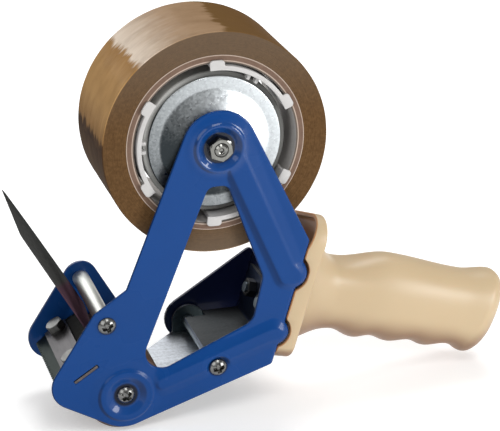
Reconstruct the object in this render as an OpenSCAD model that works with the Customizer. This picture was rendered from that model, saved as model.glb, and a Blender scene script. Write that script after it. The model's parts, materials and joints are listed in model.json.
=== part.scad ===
// Handheld packing-tape dispenser. Millimetres, +Z up, nose towards -X, handle towards +X.
// Side-view places are given from the hub's axis; the part is then set down on its roller.

/* [Tape roll] */
// Width of the tape
tape_w = 50; // [38:0.5:50]
// Outer diameter of the roll
tape_d = 105.4; // [90:0.2:110]
// Bore of the cardboard core
core_bore = 76; // [75:0.5:77]
// Wall of the cardboard core
core_wall = 3.7; // [3:0.1:4.5]
// Offset of the roll from the middle of the frame
roll_shift = 1.5; // [-0.5:0.1:1.5]

/* [Frame] */
// Thickness of the blue sheet
sheet = 1.5; // [1.2:0.1:1.8]
// Radius of the frame's apex round the hub
apex_r = 17.5; // [16.5:0.1:19]
// Width of the front leg
front_leg_w = 19.6; // [17:0.2:21]
// Lean of the front leg
front_leg_lean = 21.7; // [20:0.1:23]
// Lean of the rear leg
rear_leg_lean = 25.4; // [24:0.1:27]
// Distance from the hub's axis to the rear wall
rear_s = 56.5; // [55:0.1:60]
// Lean of the rear wall and droop of the handle
handle_lean = 16.5; // [15:0.1:18]
// Slope of the lower beam
beam_slope = 18.1; // [17:0.1:19]
// Height of the pressed beads
bead_h = 1.8; // [1.2:0.1:2.2]
// Half width of the bead on the rear leg
leg_bead_r = 8.6; // [7:0.1:9]
// Half width of the bead on the lower beam
beam_bead_r = 7.6; // [6.5:0.1:8]
// Outside radius of the sheet's bend
bend_r = 3; // [2:0.1:4]

/* [Nose] */
// Guide pin behind the hub's axis
guide_x = -54; // [-56:0.1:-52]
// Guide pin above the hub's axis
guide_z = -81; // [-83:0.1:-80]
// Diameter of the guide pin
guide_d = 8; // [6:0.1:9]
// Radius of the nose plates round the guide pin
lug_r = 8.4; // [7.5:0.1:9]
// Roller axle behind the hub's axis
roller_x = -46; // [-47:0.1:-45]
// Roller axle above the hub's axis
roller_z = -117.5; // [-119:0.1:-117]
// Diameter of the roller
roller_d = 38; // [36.5:0.1:38.4]
// Length of the roller
roller_w = 51; // [44:0.5:51]
// Gap between the roller and each side plate
roller_side = 2; // [1.5:0.1:3]
// Diameter of the roller's axle
roller_axle_d = 8; // [6:0.1:9]
// Radius of the nose plates round the roller's axle
lobe_r = 16.8; // [15:0.1:17.4]

/* [Blade and tongue] */
// Slope of the blade
blade_slope = 32.8; // [31:0.1:34]
// Thickness of the blade
blade_t = 0.8; // [0.5:0.1:1.2]
// Width of the blade
blade_w = 50; // [40:0.5:52]
// Pitch of the teeth
tooth_pitch = 2; // [1.6:0.1:3]
// Depth of the teeth
tooth_h = 1.6; // [1:0.1:2]
// Width of the spring-steel tongue
tongue_w = 46; // [36:0.5:48]
// Free length of the tongue
tongue_l = 72; // [60:0.5:76]
// Thickness of the tongue
tongue_t = 0.8; // [0.5:0.1:1]
// Forward lean of the tongue
tongue_lean = 29; // [25:0.5:31]

/* [Cross pin and return stop] */
// Cross pin behind the hub's axis
cross_x = -1.4; // [-3:0.1:0]
// Cross pin above the hub's axis
cross_z = -109.5; // [-110.5:0.1:-108.5]
// Diameter of the cross pin
cross_d = 6; // [5:0.1:7]
// Thickness of the return stop's sheet
stop_t = 1.5; // [1:0.1:2]
// Depth of the stop's plate below the cross pin
stop_drop = 6; // [5.5:0.1:7]
// Radius of the stop's ears
ear_r = 8; // [6.5:0.1:8.5]

/* [Hub] */
// Diameter of the hub's axle
axle_d = 8; // [7:0.1:10]
// Diameter of the axle's threaded near end
axle_thread_d = 6; // [5:0.1:6]
// Diameter of the zinc dish
dish_d = 62.4; // [56:0.2:66]
// Diameter of the drum behind the dish
drum_d = 65.2; // [62:0.2:67]
// Thickness of the spring clips
clip_t = 2; // [1.2:0.1:2.2]
// Arc of one spring clip
clip_arc = 72; // [56:1:80]

/* [Handle] */
// Length of the grip
grip_l = 108.6; // [101:0.1:115]
// Half width of the grip
grip_w = 17; // [15:0.1:19]
// Height of the grip's axis above the bracket's plate, along the rear wall
grip_rise = 24.65; // [23:0.1:27]
// Height of the guard's near top corner above the grip's axis
guard_rise = 45.5; // [42:0.1:48]
// Depth of the guard
guard_d = 8.7; // [7:0.1:12]
// Wall of the guard
guard_wall = 2; // [1.5:0.1:3]
// Half distance between the handle's studs, across
stud_y = 9.5; // [8:0.1:10.5]
// Half distance between the handle's studs, along the wall
stud_t = 9.5; // [8:0.1:10.5]

/* [Clearances] */
// Radial clearance of a shaft that turns in its bore
running_fit = 0.05; // [0.02:0.01:0.09]
// Radial clearance of a screw or a tab in its hole
hole_fit = 0.15; // [0.1:0.01:0.3]
// Gap between pieces that pass each other
gap = 0.3; // [0.25:0.05:0.5]

/* [Hidden] */
$fn = 64;
screw_d = 4;
head_d = 8.5;
head_h = 2.6;
screw_l = 9;

tape_room = 1;
frame_gap = max(roller_w, tape_w + tape_room) + 2 * roller_side;
inner = frame_gap / 2;
outer = inner + sheet;
hub = [0, 0];
guide = [guide_x, guide_z];
roller = [roller_x, roller_z];
cross_at = [cross_x, cross_z];
floor_z = roller_z - roller_d / 2;

// Unit vector at an angle in the side view
function dir(a) = [cos(a), sin(a)];
// Turn brought into half a circle either way
function half_turn(a) = a > 180 ? a - 360 : a < -180 ? a + 360 : a;
// Meeting point of two edge lines, each [centre, distance from it, direction that the edge faces]
function meet(p, q) =
    let (m = dir(p[2]), n = dir(q[2]), a = p[0] * m + p[1], b = q[0] * n + q[1], d = m[0] * n[1] - m[1] * n[0])
    [(a * n[1] - b * m[1]) / d, (b * m[0] - a * n[0]) / d];
// Arc of radius r that rounds the corner b between a and c
function corner(a, b, c, r, steps = 12) =
    let (u = (a - b) / norm(a - b), v = (c - b) / norm(c - b), half = acos(u * v) / 2,
         o = b + (u + v) / norm(u + v) * r / sin(half), s = b + u * r / tan(half) - o, e = b + v * r / tan(half) - o,
         a0 = atan2(s[1], s[0]), turn = half_turn(atan2(e[1], e[0]) - a0))
    [for (i = [0:steps]) o + r * dir(a0 + turn * i / steps)];
// Closed outline through corners [point, radius]
function rounded(c) =
    let (n = len(c))
    [for (i = [0:n - 1]) each corner(c[(i + n - 1) % n][0], c[i][0], c[(i + 1) % n][0], c[i][1])];
// Closed outline whose corners are where each edge line meets the next
function outline(edges, radii) =
    let (n = len(edges))
    rounded([for (i = [0:n - 1]) [meet(edges[i], edges[(i + 1) % n]), radii[i]]]);
// Value between listed crests and troughs [place, value], level at each of them
function wave(keys, s) =
    let (k = max([for (i = [0:len(keys) - 2]) s >= keys[i][0] ? i : 0]), a = keys[k], b = keys[k + 1],
         u = (1 - cos(180 * (s - a[0]) / (b[0] - a[0]))) / 2)
    a[1] + (b[1] - a[1]) * u;
// Point of a squared ellipse with separate heights above and below
function squared(w, up, down, a, n) =
    let (c = cos(a), s = sin(a))
    [w * sign(c) * pow(abs(c), 2 / n), (s > 0 ? up : down) * sign(s) * pow(abs(s), 2 / n)];

// Edge lines of the frame, in the side view
rear_leg_edge = [hub, apex_r, rear_leg_lean];
front_leg_edge = [hub, apex_r, 180 - front_leg_lean];
lug_top_edge = [guide, lug_r, 124];
nose_front_edge = [guide, lug_r, 147];
nose_low_edge = [roller, lobe_r, 240];
beam_low_edge = [roller, lobe_r, 270 + beam_slope];
rear_edge = [hub, rear_s, -handle_lean];
nose_r = 11.5;
plate_corner_r = 4;
lug_inner_r = 1;
frame_outline = outline(
    [rear_leg_edge, front_leg_edge, lug_top_edge, nose_front_edge, nose_low_edge, beam_low_edge, rear_edge],
    [apex_r, lug_inner_r, lug_r, nose_r, lobe_r, plate_corner_r, plate_corner_r]);
window_drop = 18.8;
window_rise = 12.7;
window_rear = 22.3;
window_leg = 2.6;
window_top_r = 4.2;
window_front_r = 8.3;
window_low_r = 8;
window_rear_r = 7;
window_outline = outline(
    [[hub, -window_drop, 90], [hub, apex_r - front_leg_w, 180 - front_leg_lean], [cross_at, -window_rise, 293],
     [hub, rear_s - window_rear, -12.3], [hub, -window_leg, 19.5]],
    [window_top_r, window_front_r, window_low_r, window_rear_r, window_top_r]);
far_nose_r = 6;
far_nose_outline = outline(
    [nose_front_edge, nose_low_edge, [roller, lobe_r, 360], [guide, lug_r, 29.5]],
    [nose_r, lobe_r, far_nose_r, lug_r]);
arm_r = 11.3;
arm_corner_r = 3;
far_arm_outline = outline(
    [[cross_at, arm_r, 122.5], [cross_at, arm_r, 270 + beam_slope], [hub, rear_s - sheet, -handle_lean]],
    [arm_r, arm_corner_r, arm_corner_r]);

// Rear bracket over the cross pin
rear_axis = dir(-handle_lean);
rear_up = dir(90 - handle_lean);
bracket_t = 1.5;
bracket_over_pin = 1;
bracket_z = cross_z + cross_d / 2 + bracket_over_pin;
bracket_seat = rear_s - 2 * sheet;
bracket_under = [[0, bracket_z], 0, 270];
bracket_over = [[0, bracket_z + bracket_t], 0, 90];
bracket_back = [hub, bracket_seat, -handle_lean];
bracket_face = [hub, bracket_seat - bracket_t, -handle_lean];
// Axis of the grip, along the rear wall
grip_drop = -meet(bracket_over, bracket_face) * rear_up - grip_rise;

// Wall at the rear of the frame and the far arm's lap on it, about the grip's axis
wall_up = 27.5;
wall_down = 27;
wall_top = wall_up - grip_drop;
wall_low = -wall_down - grip_drop;
wall_short = 14;
wall_reach = outer - wall_short;
lap_up = 21.5;
lap_down = 27.5;
lap_top = lap_up - grip_drop;
lap_low = -lap_down - grip_drop;
lap_reach = wall_reach + 1;

// Beads: axis from the first point to the second
leg_bead_x = 14;
leg_bead_z = -10;
leg_bead_in = 5.5;
leg_bead_up = 14.5;
beam_bead_x = -28;
beam_bead_z = -113.5;
beam_bead_in = 4.9;
beam_bead_down = 15.7;
leg_bead = [[leg_bead_x, leg_bead_z], rear_axis * (rear_s - leg_bead_in) + rear_up * (leg_bead_up - grip_drop)];
beam_bead = [[beam_bead_x, beam_bead_z], rear_axis * (rear_s - beam_bead_in) - rear_up * (beam_bead_down + grip_drop)];
bead_room = 1.2;
bead_end_h = 3.5;

// Bosses on the outside of the plates
hub_boss_r = 10.9;
hub_recess_r = 7.8;
roller_boss_r = 12;
roller_recess_r = 6;
boss_draft = 1.6;
recess_draft = 2;

// Blade, in its own slope: p runs up the blade from its teeth, q stands square to it
blade_up = dir(blade_slope);
blade_out = dir(90 + blade_slope);
holder_t = 1.2;
holder_clear = 1.4;
tooth_reach = 23.55;
tooth_line = roller + blade_out * (roller_d / 2 + holder_clear + holder_t) - blade_up * tooth_reach;
holder_low = 4;
holder_high = 27;
slot_low = 8.8;
slot_high = 21.6;
blade_p = 17;
clamp_low = 6.5;
clamp_high = 18.5;
clamp_t = 1.5;
clamp_w = tongue_w;
bolt_p = 13.5;
bolt_in = 5;
bolt_y = clamp_w / 2 - bolt_in;
bolt_d = 5;
bolt_head_h = 3.2;
bolt_past = 0.6;
bolt_head_d = 9.2;
lock_washer_d = 8.6;
lock_washer_t = 1.3;
foot_bend_r = 4;
foot_low = 7.5;
foot_high = 24.2;
foot_q = blade_t + tongue_t / 2;
clamp_q = blade_t + tongue_t;
tongue_split = 0.5;
bend_centre = tooth_line + blade_up * foot_high + blade_out * (foot_q + foot_bend_r);
tongue_dir = dir(90 + tongue_lean);
tongue_root = bend_centre + foot_bend_r * dir(tongue_lean) + tongue_dir * tongue_split;
tongue_bend = 90 + tongue_lean - blade_slope;

// Return stop on the cross pin
ear_t = 1.5;
ear_side = 1.2;
ear_y = inner - ear_side;
stop_low = cross_z - stop_drop - stop_t;
stop_clear = 0.75;
stop_front = roller_x + sqrt(pow(roller_d / 2, 2) - pow(stop_low - roller_z, 2)) + stop_clear;
stop_shoulder = cross_x - ear_r;
stop_behind = 8.5;
stop_rear = cross_x + stop_behind;
stop_front_w = 21;

// Torsion spring of the stop, beside the near ear
stop_wire = 1;
stop_coil_room = 0.7;
stop_coil_r = cross_d / 2 + stop_wire / 2 + stop_coil_room;
stop_curls = 3.5;
stop_pitch = 1.5;
stop_side = 1.2;
stop_spring_y = ear_t - ear_y + stop_side + stop_wire / 2;
stop_spring_end = stop_spring_y + stop_curls * stop_pitch + stop_wire / 2;
stop_leg = 8.5;
stop_leg_gap = 1;

// Bracket's tongue beside the stop's spring, and its wider leg on the rear wall
bracket_side = 0.85;
bracket_ear_gap = 2.8;
bracket_ahead = 3.8;
bracket_behind = 6.5;
bracket_past = 8;
bracket_front = cross_x - bracket_ahead;
bracket_w = -2 * (stop_spring_end + bracket_side);
bracket_rear_w = 2 * (ear_y - ear_t - bracket_ear_gap);
bracket_notch = cross_x + bracket_behind;
bracket_top = bracket_past - stud_t - grip_drop;
bracket_head = [rear_up * bracket_top, 0, 90 - handle_lean];
bracket_profile = concat(
    [[bracket_front, bracket_z + bracket_t], [bracket_front, bracket_z]],
    corner([bracket_front, bracket_z], meet(bracket_under, bracket_back), meet(bracket_back, bracket_head), 2 * bracket_t),
    [meet(bracket_back, bracket_head), meet(bracket_face, bracket_head)],
    corner(meet(bracket_face, bracket_head), meet(bracket_over, bracket_face), [bracket_front, bracket_z + bracket_t], bracket_t));

// Hub, along the axle
collar_t = 1.2;
collar_r = 8;
brake_washer_t = 1.2;
brake_washer_r = 13;
dish_t = 1.2;
dish_flat_r = 14;
dish_rim_w = 5.8;
dish_rise = 3.6;
tube_r = 11;
spring_wire = 1.5;
spring_r = 7;
spring_curls = 4.5;
spring_pitch = 2.2;
washer_t = 1.2;
washer_r = 9.5;
nut_af = 10;
nut_h = 3.6;
thread_past = 0.8;
tension_af = 13;
tension_h = 5.5;
brake_y = -inner + collar_t;
dish_y = brake_y + brake_washer_t + gap;
tube_y = dish_y + dish_t;
tube_l = 27;
tube_end = tube_y + tube_l;
thrust_y = tube_end + gap;
spring_y = thrust_y + washer_t;
spring_l = spring_curls * spring_pitch + spring_wire;
cap_y = spring_y + spring_l;
tension_y = cap_y + washer_t;
axle_end = tension_y + tension_h + thread_past;
core_r = core_bore / 2;
core_fit = 0.05;
roll_y = [roll_shift - tape_w / 2, roll_shift + tape_w / 2];
clip_r = core_r - gap;
clip_in = 0.4;
clip_w = 20;
clip_y = [roll_y[0] + clip_in, roll_y[0] + clip_in + clip_w];
clip_turn = 58.5;
pad_arc = 10.5;
pad_t = 1.2;
pad_out = 1.6;
clip_rib_w = 1.6;
clip_rib_turn = 3.7;
clip_rib_in = 0.5;
// Drum: open at the front behind the dish's rim, with a web on its tube
drum_r = drum_d / 2;
drum_wall = 2;
drum_y = dish_y + dish_rise + dish_t + gap;
drum_web_t = 2.4;
drum_seat = 0.05;

// Roller
tyre_t = 5;
bush_wall = 2.5;
bush_flange_r = 8.5;
bush_l = 9;
bush_flange_t = inner - roller_w / 2 - 0.5;
web_r = 9.5;
web_recess = 5;

// Handle, along its own axis from the guard's rear face
grip_s = rear_s + guard_d;
// Guard's outline across the handle, [depth, height]: higher on the near side, with a keel below
guard_slope = 17.3;
guard_keel = 40.3;
guard_keel_y = 2;
guard_cut = 4.5;
guard_edges = [
    [[-outer, -grip_drop], 0, 180], [[-outer, guard_rise - grip_drop], 0, 90 - guard_slope], [[outer, -grip_drop], 0, 0],
    [[guard_keel_y, -guard_keel - grip_drop], 0, 290.3], [[guard_keel_y, -guard_keel - grip_drop], 0, 246.5]];
guard_radii = [12, 12, 10, 14, 8];
stud_d = 5;
stud_depth = 14;
stud_nut_af = 8;
stud_nut_h = 4;
stud_past = 1;
end_low_r = 14;
end_top_r = 6;
end_tilt = -0.03;
grip_steps = 38;
grip_end_steps = 8;
grip_sides = 28;
// Crests and troughs of the grip: place in its length, and height or width in its half width
grip_top_keys = [[0, 1.6], [0.1796, 0.9235], [0.4466, 1.324], [0.8103, 1.212], [0.9576, 1.371], [1.103, 1.371]];
grip_low_keys = [[0, 1.706], [0.2238, 1.106], [0.3499, 1.306], [0.4273, 1.147], [0.5203, 1.259], [0.6215, 1.1], [0.709, 1.218], [0.8149, 1.029], [0.9484, 1.318], [1.103, 1.318]];
grip_side_keys = [[0, 1.176], [0.1915, 0.9118], [0.4862, 1], [0.8085, 0.9412], [0.9466, 0.9882], [1.103, 0.9882]];

tongue_tip = tongue_root + tongue_dir * tongue_l;
front_x = tongue_tip[0] - tongue_t / 2 * cos(tongue_lean);
grip_points = [for (k = [0:grip_steps]) each grip_ring(k)];
rear_x = max([for (q = grip_points) q[0] * cos(handle_lean) + q[2] * sin(handle_lean)]);
grip_low_z = min([for (q = grip_points) q[2] * cos(handle_lean) - q[0] * sin(handle_lean)]);
near_y = outer + nut_h + thread_past;
far_y = outer + head_h;
place = [-(front_x + rear_x) / 2, (near_y - far_y) / 2, -floor_z];

beige = "#d8bf98";
blue = "#22509a";
zinc = "#b9c2c8";
steel = "#8c9094";

// Plate between two depths, cut to a side-view outline
module side_plate(y0, y1)
    translate([0, y1, 0]) rotate([90, 0, 0]) linear_extrude(y1 - y0) children();
// Round bar along Y
module bar(at, y0, y1, r)
    translate([at[0], y0, at[1]]) rotate([-90, 0, 0]) cylinder(h = y1 - y0, r = r);
// Ring along Y
module ring(at, y0, y1, r, bore)
    difference() {
        bar(at, y0, y1, r);
        bar(at, y0 - 1, y1 + 1, bore);
    }
// Turned form about the hub's axis, from a profile of [radius, depth]
module turned(profile)
    rotate([-90, 0, 0]) rotate_extrude() polygon(profile);
// Hexagon along Y
module hexagon(at, y0, y1, across)
    translate([at[0], y0, at[1]]) rotate([-90, 0, 0]) cylinder(h = y1 - y0, r = across / sqrt(3), $fn = 6);
// Frame of the rear wall and handle: x along the grip, z along the wall
module handle_frame()
    rotate([0, handle_lean, 0]) children();
// Frame of the blade: x up the blade, z square to it
module blade_frame()
    translate([tooth_line[0], 0, tooth_line[1]]) rotate([0, -blade_slope, 0]) children();
// Places of the handle's studs in the handle's frame
module at_studs()
    for (y = [-stud_y, stud_y], t = [-stud_t, stud_t]) translate([0, y, t - grip_drop]) children();
// Closed skin over rings of points
module skin(rings) {
    n = len(rings[0]);
    last = len(rings) - 1;
    polyhedron(
        points = [for (r = rings) each r],
        faces = concat(
            [[for (i = [0:n - 1]) i]],
            [for (k = [0:last - 1], i = [0:n - 1]) each
                let (a = k * n + i, b = k * n + (i + 1) % n)
                [[a, a + n, b], [b, a + n, b + n]]],
            [[for (i = [0:n - 1]) last * n + n - 1 - i]]));
}
// Wire of radius r along a path that never runs along Y
module wire(path, r, sides = 6) {
    last = len(path) - 1;
    skin([for (i = [0:last])
        let (t = path[min(i + 1, last)] - path[max(i - 1, 0)], u = cross(t, [0, 1, 0]) / norm(cross(t, [0, 1, 0])),
             v = cross(u, t) / norm(t))
        [for (k = [0:sides - 1]) path[i] + r * (cos(360 * k / sides) * u + sin(360 * k / sides) * v)]]);
}
// Least gap of a coiled wire to itself, between points over half a curl apart
function least_gap(path, d, apart) =
    min([for (i = [0:len(path) - 1], j = [0:len(path) - 1]) if (j - i >= apart) norm(path[i] - path[j]) - d]);

// Half profile of a bead, [distance from its axis, depth]: a dome over a skirt down to a depth
function bead_profile(r, low, grow = 0, steps = 6) =
    let (big = (r * r + bead_h * bead_h) / (2 * bead_h), top = outer + bead_h - big,
         reach = acos((big - bead_h - grow) / (big - grow)))
    concat([for (i = [0:steps]) let (a = reach * i / steps) [(big - grow) * sin(a), -top - (big - grow) * cos(a)]],
           [[(big - grow) * sin(reach), low], [0, low]]);
function mirrored(profile) = concat(profile, [for (i = [len(profile) - 2:-1:1]) [-profile[i][0], profile[i][1]]]);
// Bead from one end to the other, its second end with a deeper skirt
module bead(ends, r, low, end_low, grow = 0) {
    run = ends[1] - ends[0];
    translate([ends[0][0], 0, ends[0][1]]) rotate([0, -atan2(run[1], run[0]), 0]) {
        rotate([0, 90, 0]) linear_extrude(norm(run)) polygon(mirrored(bead_profile(r, low, grow)));
        rotate([-90, 0, 0]) rotate([0, 0, 90]) rotate_extrude(angle = 180) polygon(bead_profile(r, low, grow));
        translate([norm(run), 0, 0]) rotate([-90, 0, 0]) rotate([0, 0, -90]) rotate_extrude(angle = 180)
            polygon(bead_profile(r, end_low, grow));
    }
}
// Bead's end cut short, so that its hollow stays clear of the wall
function shortened(ends, by) = [ends[0], ends[1] - (ends[1] - ends[0]) / norm(ends[1] - ends[0]) * by];
// Room in the guard round a bead's end
module bead_end_room(at, r)
    bar(at, -outer - bead_room, -outer + bead_end_h + bead_room, r + bead_room);
// Raised ring round a fastener, on the outside of a plate
module boss(at, y, height, r, recess)
    difference() {
        translate([at[0], y, at[1]]) rotate([height > 0 ? -90 : 90, 0, 0])
            cylinder(h = abs(height), r1 = r + boss_draft, r2 = r);
        translate([at[0], y, at[1]]) rotate([height > 0 ? -90 : 90, 0, 0])
            cylinder(h = abs(height), r1 = recess, r2 = recess + recess_draft);
    }
// Slot for the tabs of the blade holder
module holder_slot(y0, y1)
    blade_frame() translate([slot_low - hole_fit, y0, -holder_t - hole_fit])
        cube([slot_high - slot_low + 2 * hole_fit, y1 - y0, holder_t + 2 * hole_fit]);
// Pan-head screws at both ends of a cross member
module end_screws(at) {
    for (side = [-1, 1]) mirror([0, side > 0 ? 1 : 0, 0]) {
        bar(at, -outer, screw_l - outer, screw_d / 2);
        intersection() {
            bar(at, -outer - head_h, -outer, head_d / 2);
            translate([at[0], -outer + head_d * 0.62 - head_h, at[1]]) sphere(d = head_d * 1.24);
        }
    }
}
// Cross member with a tapped hole in each end
module cross_member(at, d)
    difference() {
        bar(at, -inner, inner, d / 2);
        for (side = [-1, 1]) bar(at, side * inner - screw_l, side * inner + screw_l, screw_d / 2 + running_fit);
    }

// Side plate whose rear edge is bent round into a wall: rear face at s, wall from low to top, reaching past the middle
module bent_plate(s, low, top, reach)
    difference() {
        union() {
            side_plate(-outer, -inner) children();
            handle_frame() translate([s - sheet, -outer, low]) cube([sheet, outer + reach, top - low]);
        }
        handle_frame() translate([s - bend_r, -outer, low]) difference() {
            translate([0, -1, -1]) cube([bend_r + 1, bend_r + 1, top - low + 2]);
            translate([0, bend_r, -2]) cylinder(h = top - low + 4, r = bend_r);
        }
    }

module side_frame() color(blue) translate(place) difference() {
    union() {
        bent_plate(rear_s, wall_low, wall_top, wall_reach) difference() {
            polygon(frame_outline);
            polygon(window_outline);
        }
        bead(leg_bead, leg_bead_r, -outer + sheet / 2, -outer + bead_end_h);
        bead(beam_bead, beam_bead_r, -outer + sheet / 2, -outer + bead_end_h);
        boss(hub, -outer, -bead_h, hub_boss_r, hub_recess_r);
        boss(roller, -outer, -bead_h, roller_boss_r, roller_recess_r);
    }
    bead(shortened(leg_bead, leg_bead_r), leg_bead_r, -inner + 1, -inner + 1, sheet);
    bead(shortened(beam_bead, beam_bead_r), beam_bead_r, -inner + 1, -inner + 1, sheet);
    bar(hub, -outer - 9, -inner + 9, axle_thread_d / 2 + hole_fit);
    for (at = [guide, roller, cross_at]) bar(at, -outer - 9, -inner + 9, screw_d / 2 + hole_fit);
    bar(hub, -outer - 9, -outer, hub_recess_r);
    bar(roller, -outer - 9, -outer, roller_recess_r);
    bar(cross_at, -outer - 9, -outer, head_d / 2 + hole_fit);
    holder_slot(-outer - 1, -inner + 1);
    handle_frame() at_studs() rotate([0, 90, 0]) cylinder(h = rear_s + 1, r = stud_d / 2 + hole_fit);
}

module far_nose_plate() color(blue) translate(place) difference() {
    union() {
        side_plate(inner, outer) polygon(far_nose_outline);
        boss(roller, outer, bead_h, roller_boss_r, roller_recess_r);
    }
    for (at = [guide, roller]) bar(at, inner - 1, outer + 9, screw_d / 2 + hole_fit);
    holder_slot(inner - 1, outer + 1);
}

module far_arm() color(blue) translate(place) difference() {
    mirror([0, 1, 0]) bent_plate(rear_s - sheet, lap_low, lap_top, lap_reach) polygon(far_arm_outline);
    bar(cross_at, inner - 1, outer + 9, screw_d / 2 + hole_fit);
    handle_frame() at_studs() rotate([0, 90, 0]) cylinder(h = rear_s + 1, r = stud_d / 2 + hole_fit);
}

module rear_bracket() color(steel) translate(place) difference() {
    side_plate(-bracket_rear_w / 2, bracket_rear_w / 2) polygon(bracket_profile);
    for (side = [-1, 1]) translate([bracket_front - 1, side > 0 ? bracket_w / 2 : -bracket_rear_w, bracket_z - 1])
        cube([bracket_notch - bracket_front + 1, bracket_rear_w - bracket_w / 2, bracket_t + 2]);
    handle_frame() at_studs() rotate([0, 90, 0]) cylinder(h = rear_s + 1, r = stud_d / 2 + hole_fit);
}

// Guard's outline, drawn in by a wall
module guard_outline(inset)
    polygon(outline([for (e = guard_edges) [e[0], -inset, e[2]]], [for (r = guard_radii) r - inset]));
// Guard's outline from one place to another along the grip
module guard_block(front, rear, inset)
    translate([front, 0, 0]) rotate([90, 0, 90]) linear_extrude(rear - front) guard_outline(inset);
module handle_guard() color(beige) translate(place) difference() {
    handle_frame() difference() {
        guard_block(rear_s, grip_s, 0);
        guard_block(rear_s - 1, grip_s - guard_wall, guard_wall);
        translate([rear_s, 0, wall_top]) rotate([0, atan2(guard_cut, guard_rise - wall_up), 0])
            translate([-guard_d, -2 * outer, 0]) cube([guard_d, 4 * outer, 2 * guard_rise]);
        at_studs() translate([rear_s, 0, 0]) rotate([0, 90, 0]) cylinder(h = guard_d + 1, r = stud_d / 2 + hole_fit);
    }
    bead_end_room(leg_bead[1], leg_bead_r);
    bead_end_room(beam_bead[1], beam_bead_r);
}

// Places of the grip's rings, closer together over its rounded end
function grip_place(k) =
    let (even = grip_steps - grip_end_steps, end = end_low_r / grip_l)
    k <= even ? (1 - end) * k / even : 1 - end * (1 - sin(90 * (k - even) / grip_end_steps));
function grip_ring(k) =
    let (u = grip_place(k), s = grip_l * u)
    [for (i = [0:grip_sides - 1])
        let (a = 360 * i / grip_sides, end_r = end_low_r + (end_top_r - end_low_r) * (sin(a) + 1) / 2,
             e = min(1, max(0, (s - grip_l + end_r) / end_r)), inset = end_r * (1 - sqrt(1 - e * e)),
             p = squared(grip_w * wave(grip_side_keys, u) - inset, grip_w * wave(grip_top_keys, u) - inset,
                         grip_w * wave(grip_low_keys, u) - inset, a, 2.3))
        [grip_s + s - max(0, s - grip_l / 2) / (grip_l / 2) * end_tilt * p[1], p[0], p[1] - grip_drop]];
module handle_grip() color(beige) translate(place) handle_frame() difference() {
    skin([for (k = [0:grip_steps]) grip_ring(k)]);
    at_studs() translate([grip_s - 1, 0, 0]) rotate([0, 90, 0])
        cylinder(h = stud_depth + 1 + gap, r = stud_d / 2 + running_fit);
}

// Seat of a stud's nut: on the lapped wall, or on the bracket's leg over the lower pair
function stud_seat(t) = rear_s - 2 * sheet - (t < 0 ? bracket_t : 0);
module handle_studs() color(steel) translate(place) handle_frame()
    for (y = [-stud_y, stud_y], t = [-stud_t, stud_t])
        translate([stud_seat(t) - stud_nut_h - stud_past, y, t - grip_drop]) rotate([0, 90, 0])
            cylinder(h = grip_s + stud_depth - stud_seat(t) + stud_nut_h + stud_past, r = stud_d / 2);
module handle_nuts() color(zinc) translate(place) handle_frame()
    for (y = [-stud_y, stud_y], t = [-stud_t, stud_t])
        translate([stud_seat(t) - stud_nut_h, y, t - grip_drop]) rotate([0, 90, 0]) difference() {
            cylinder(h = stud_nut_h, r = stud_nut_af / sqrt(3), $fn = 6);
            translate([0, 0, -1]) cylinder(h = stud_nut_h + 2, r = stud_d / 2 + running_fit);
        }

module hub_axle() color(steel) translate(place) turned([
    [0, -outer - nut_h - thread_past], [axle_thread_d / 2, -outer - nut_h - thread_past], [axle_thread_d / 2, -inner],
    [collar_r, -inner], [collar_r, brake_y], [axle_d / 2, brake_y], [axle_d / 2, axle_end], [0, axle_end]]);
module hub_nut() color(zinc) translate(place) difference() {
    hexagon(hub, -outer - nut_h, -outer, nut_af);
    bar(hub, -outer - nut_h - 1, -outer + 1, axle_thread_d / 2 + running_fit);
}
module brake_washer() color("#4a3a2c") translate(place)
    ring(hub, brake_y, brake_y + brake_washer_t, brake_washer_r, axle_d / 2 + running_fit);
module thrust_washer() color(zinc) translate(place)
    ring(hub, thrust_y, spring_y, washer_r, axle_d / 2 + running_fit);
module spring_washer() color(zinc) translate(place)
    ring(hub, cap_y, tension_y, washer_r, axle_d / 2 + running_fit);
module tension_nut() color(zinc) translate(place) difference() {
    hexagon(hub, tension_y, tension_y + tension_h, tension_af);
    bar(hub, tension_y - 1, tension_y + tension_h + 1, axle_d / 2 + running_fit);
}
brake_coil = [for (i = [0:8 * spring_curls])
    [spring_r * cos(45 * i), spring_y + spring_wire / 2 + spring_pitch * i / 8, spring_r * sin(45 * i)]];
module brake_spring() color(steel) translate(place) wire(brake_coil, spring_wire / 2);

module hub_dish() color(zinc) translate(place) let (bore = axle_d / 2 + running_fit, rim = dish_d / 2, cone = rim - dish_rim_w) turned([
    [bore, dish_y], [dish_flat_r, dish_y], [cone, dish_y + dish_rise], [rim, dish_y + dish_rise],
    [rim, dish_y + dish_rise + dish_t], [cone - dish_t / 3, dish_y + dish_rise + dish_t],
    [dish_flat_r - dish_t / 3, dish_y + dish_t], [bore, dish_y + dish_t]]);

// Sector of a ring about the hub's axis
module sector(turn, arc, r0, r1, y0, y1)
    rotate([-90, 0, 0]) rotate([0, 0, -turn - arc / 2]) rotate_extrude(angle = arc)
        translate([r0, y0]) square([r1 - r0, y1 - y0]);
module hub_drum() color("#4b4c4b") translate(place) difference() {
    union() {
        bar(hub, tube_y, tube_end, tube_r);
        bar(hub, drum_y, tube_end, drum_r);
    }
    difference() {
        bar(hub, drum_y - 1, tube_end + 1, drum_r - drum_wall);
        bar(hub, drum_y - 2, tube_end + 2, tube_r);
        bar(hub, tube_end - drum_web_t, tube_end + 2, drum_r);
    }
    bar(hub, tube_y - 1, tube_end + 1, axle_d / 2 + running_fit);
}
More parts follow.
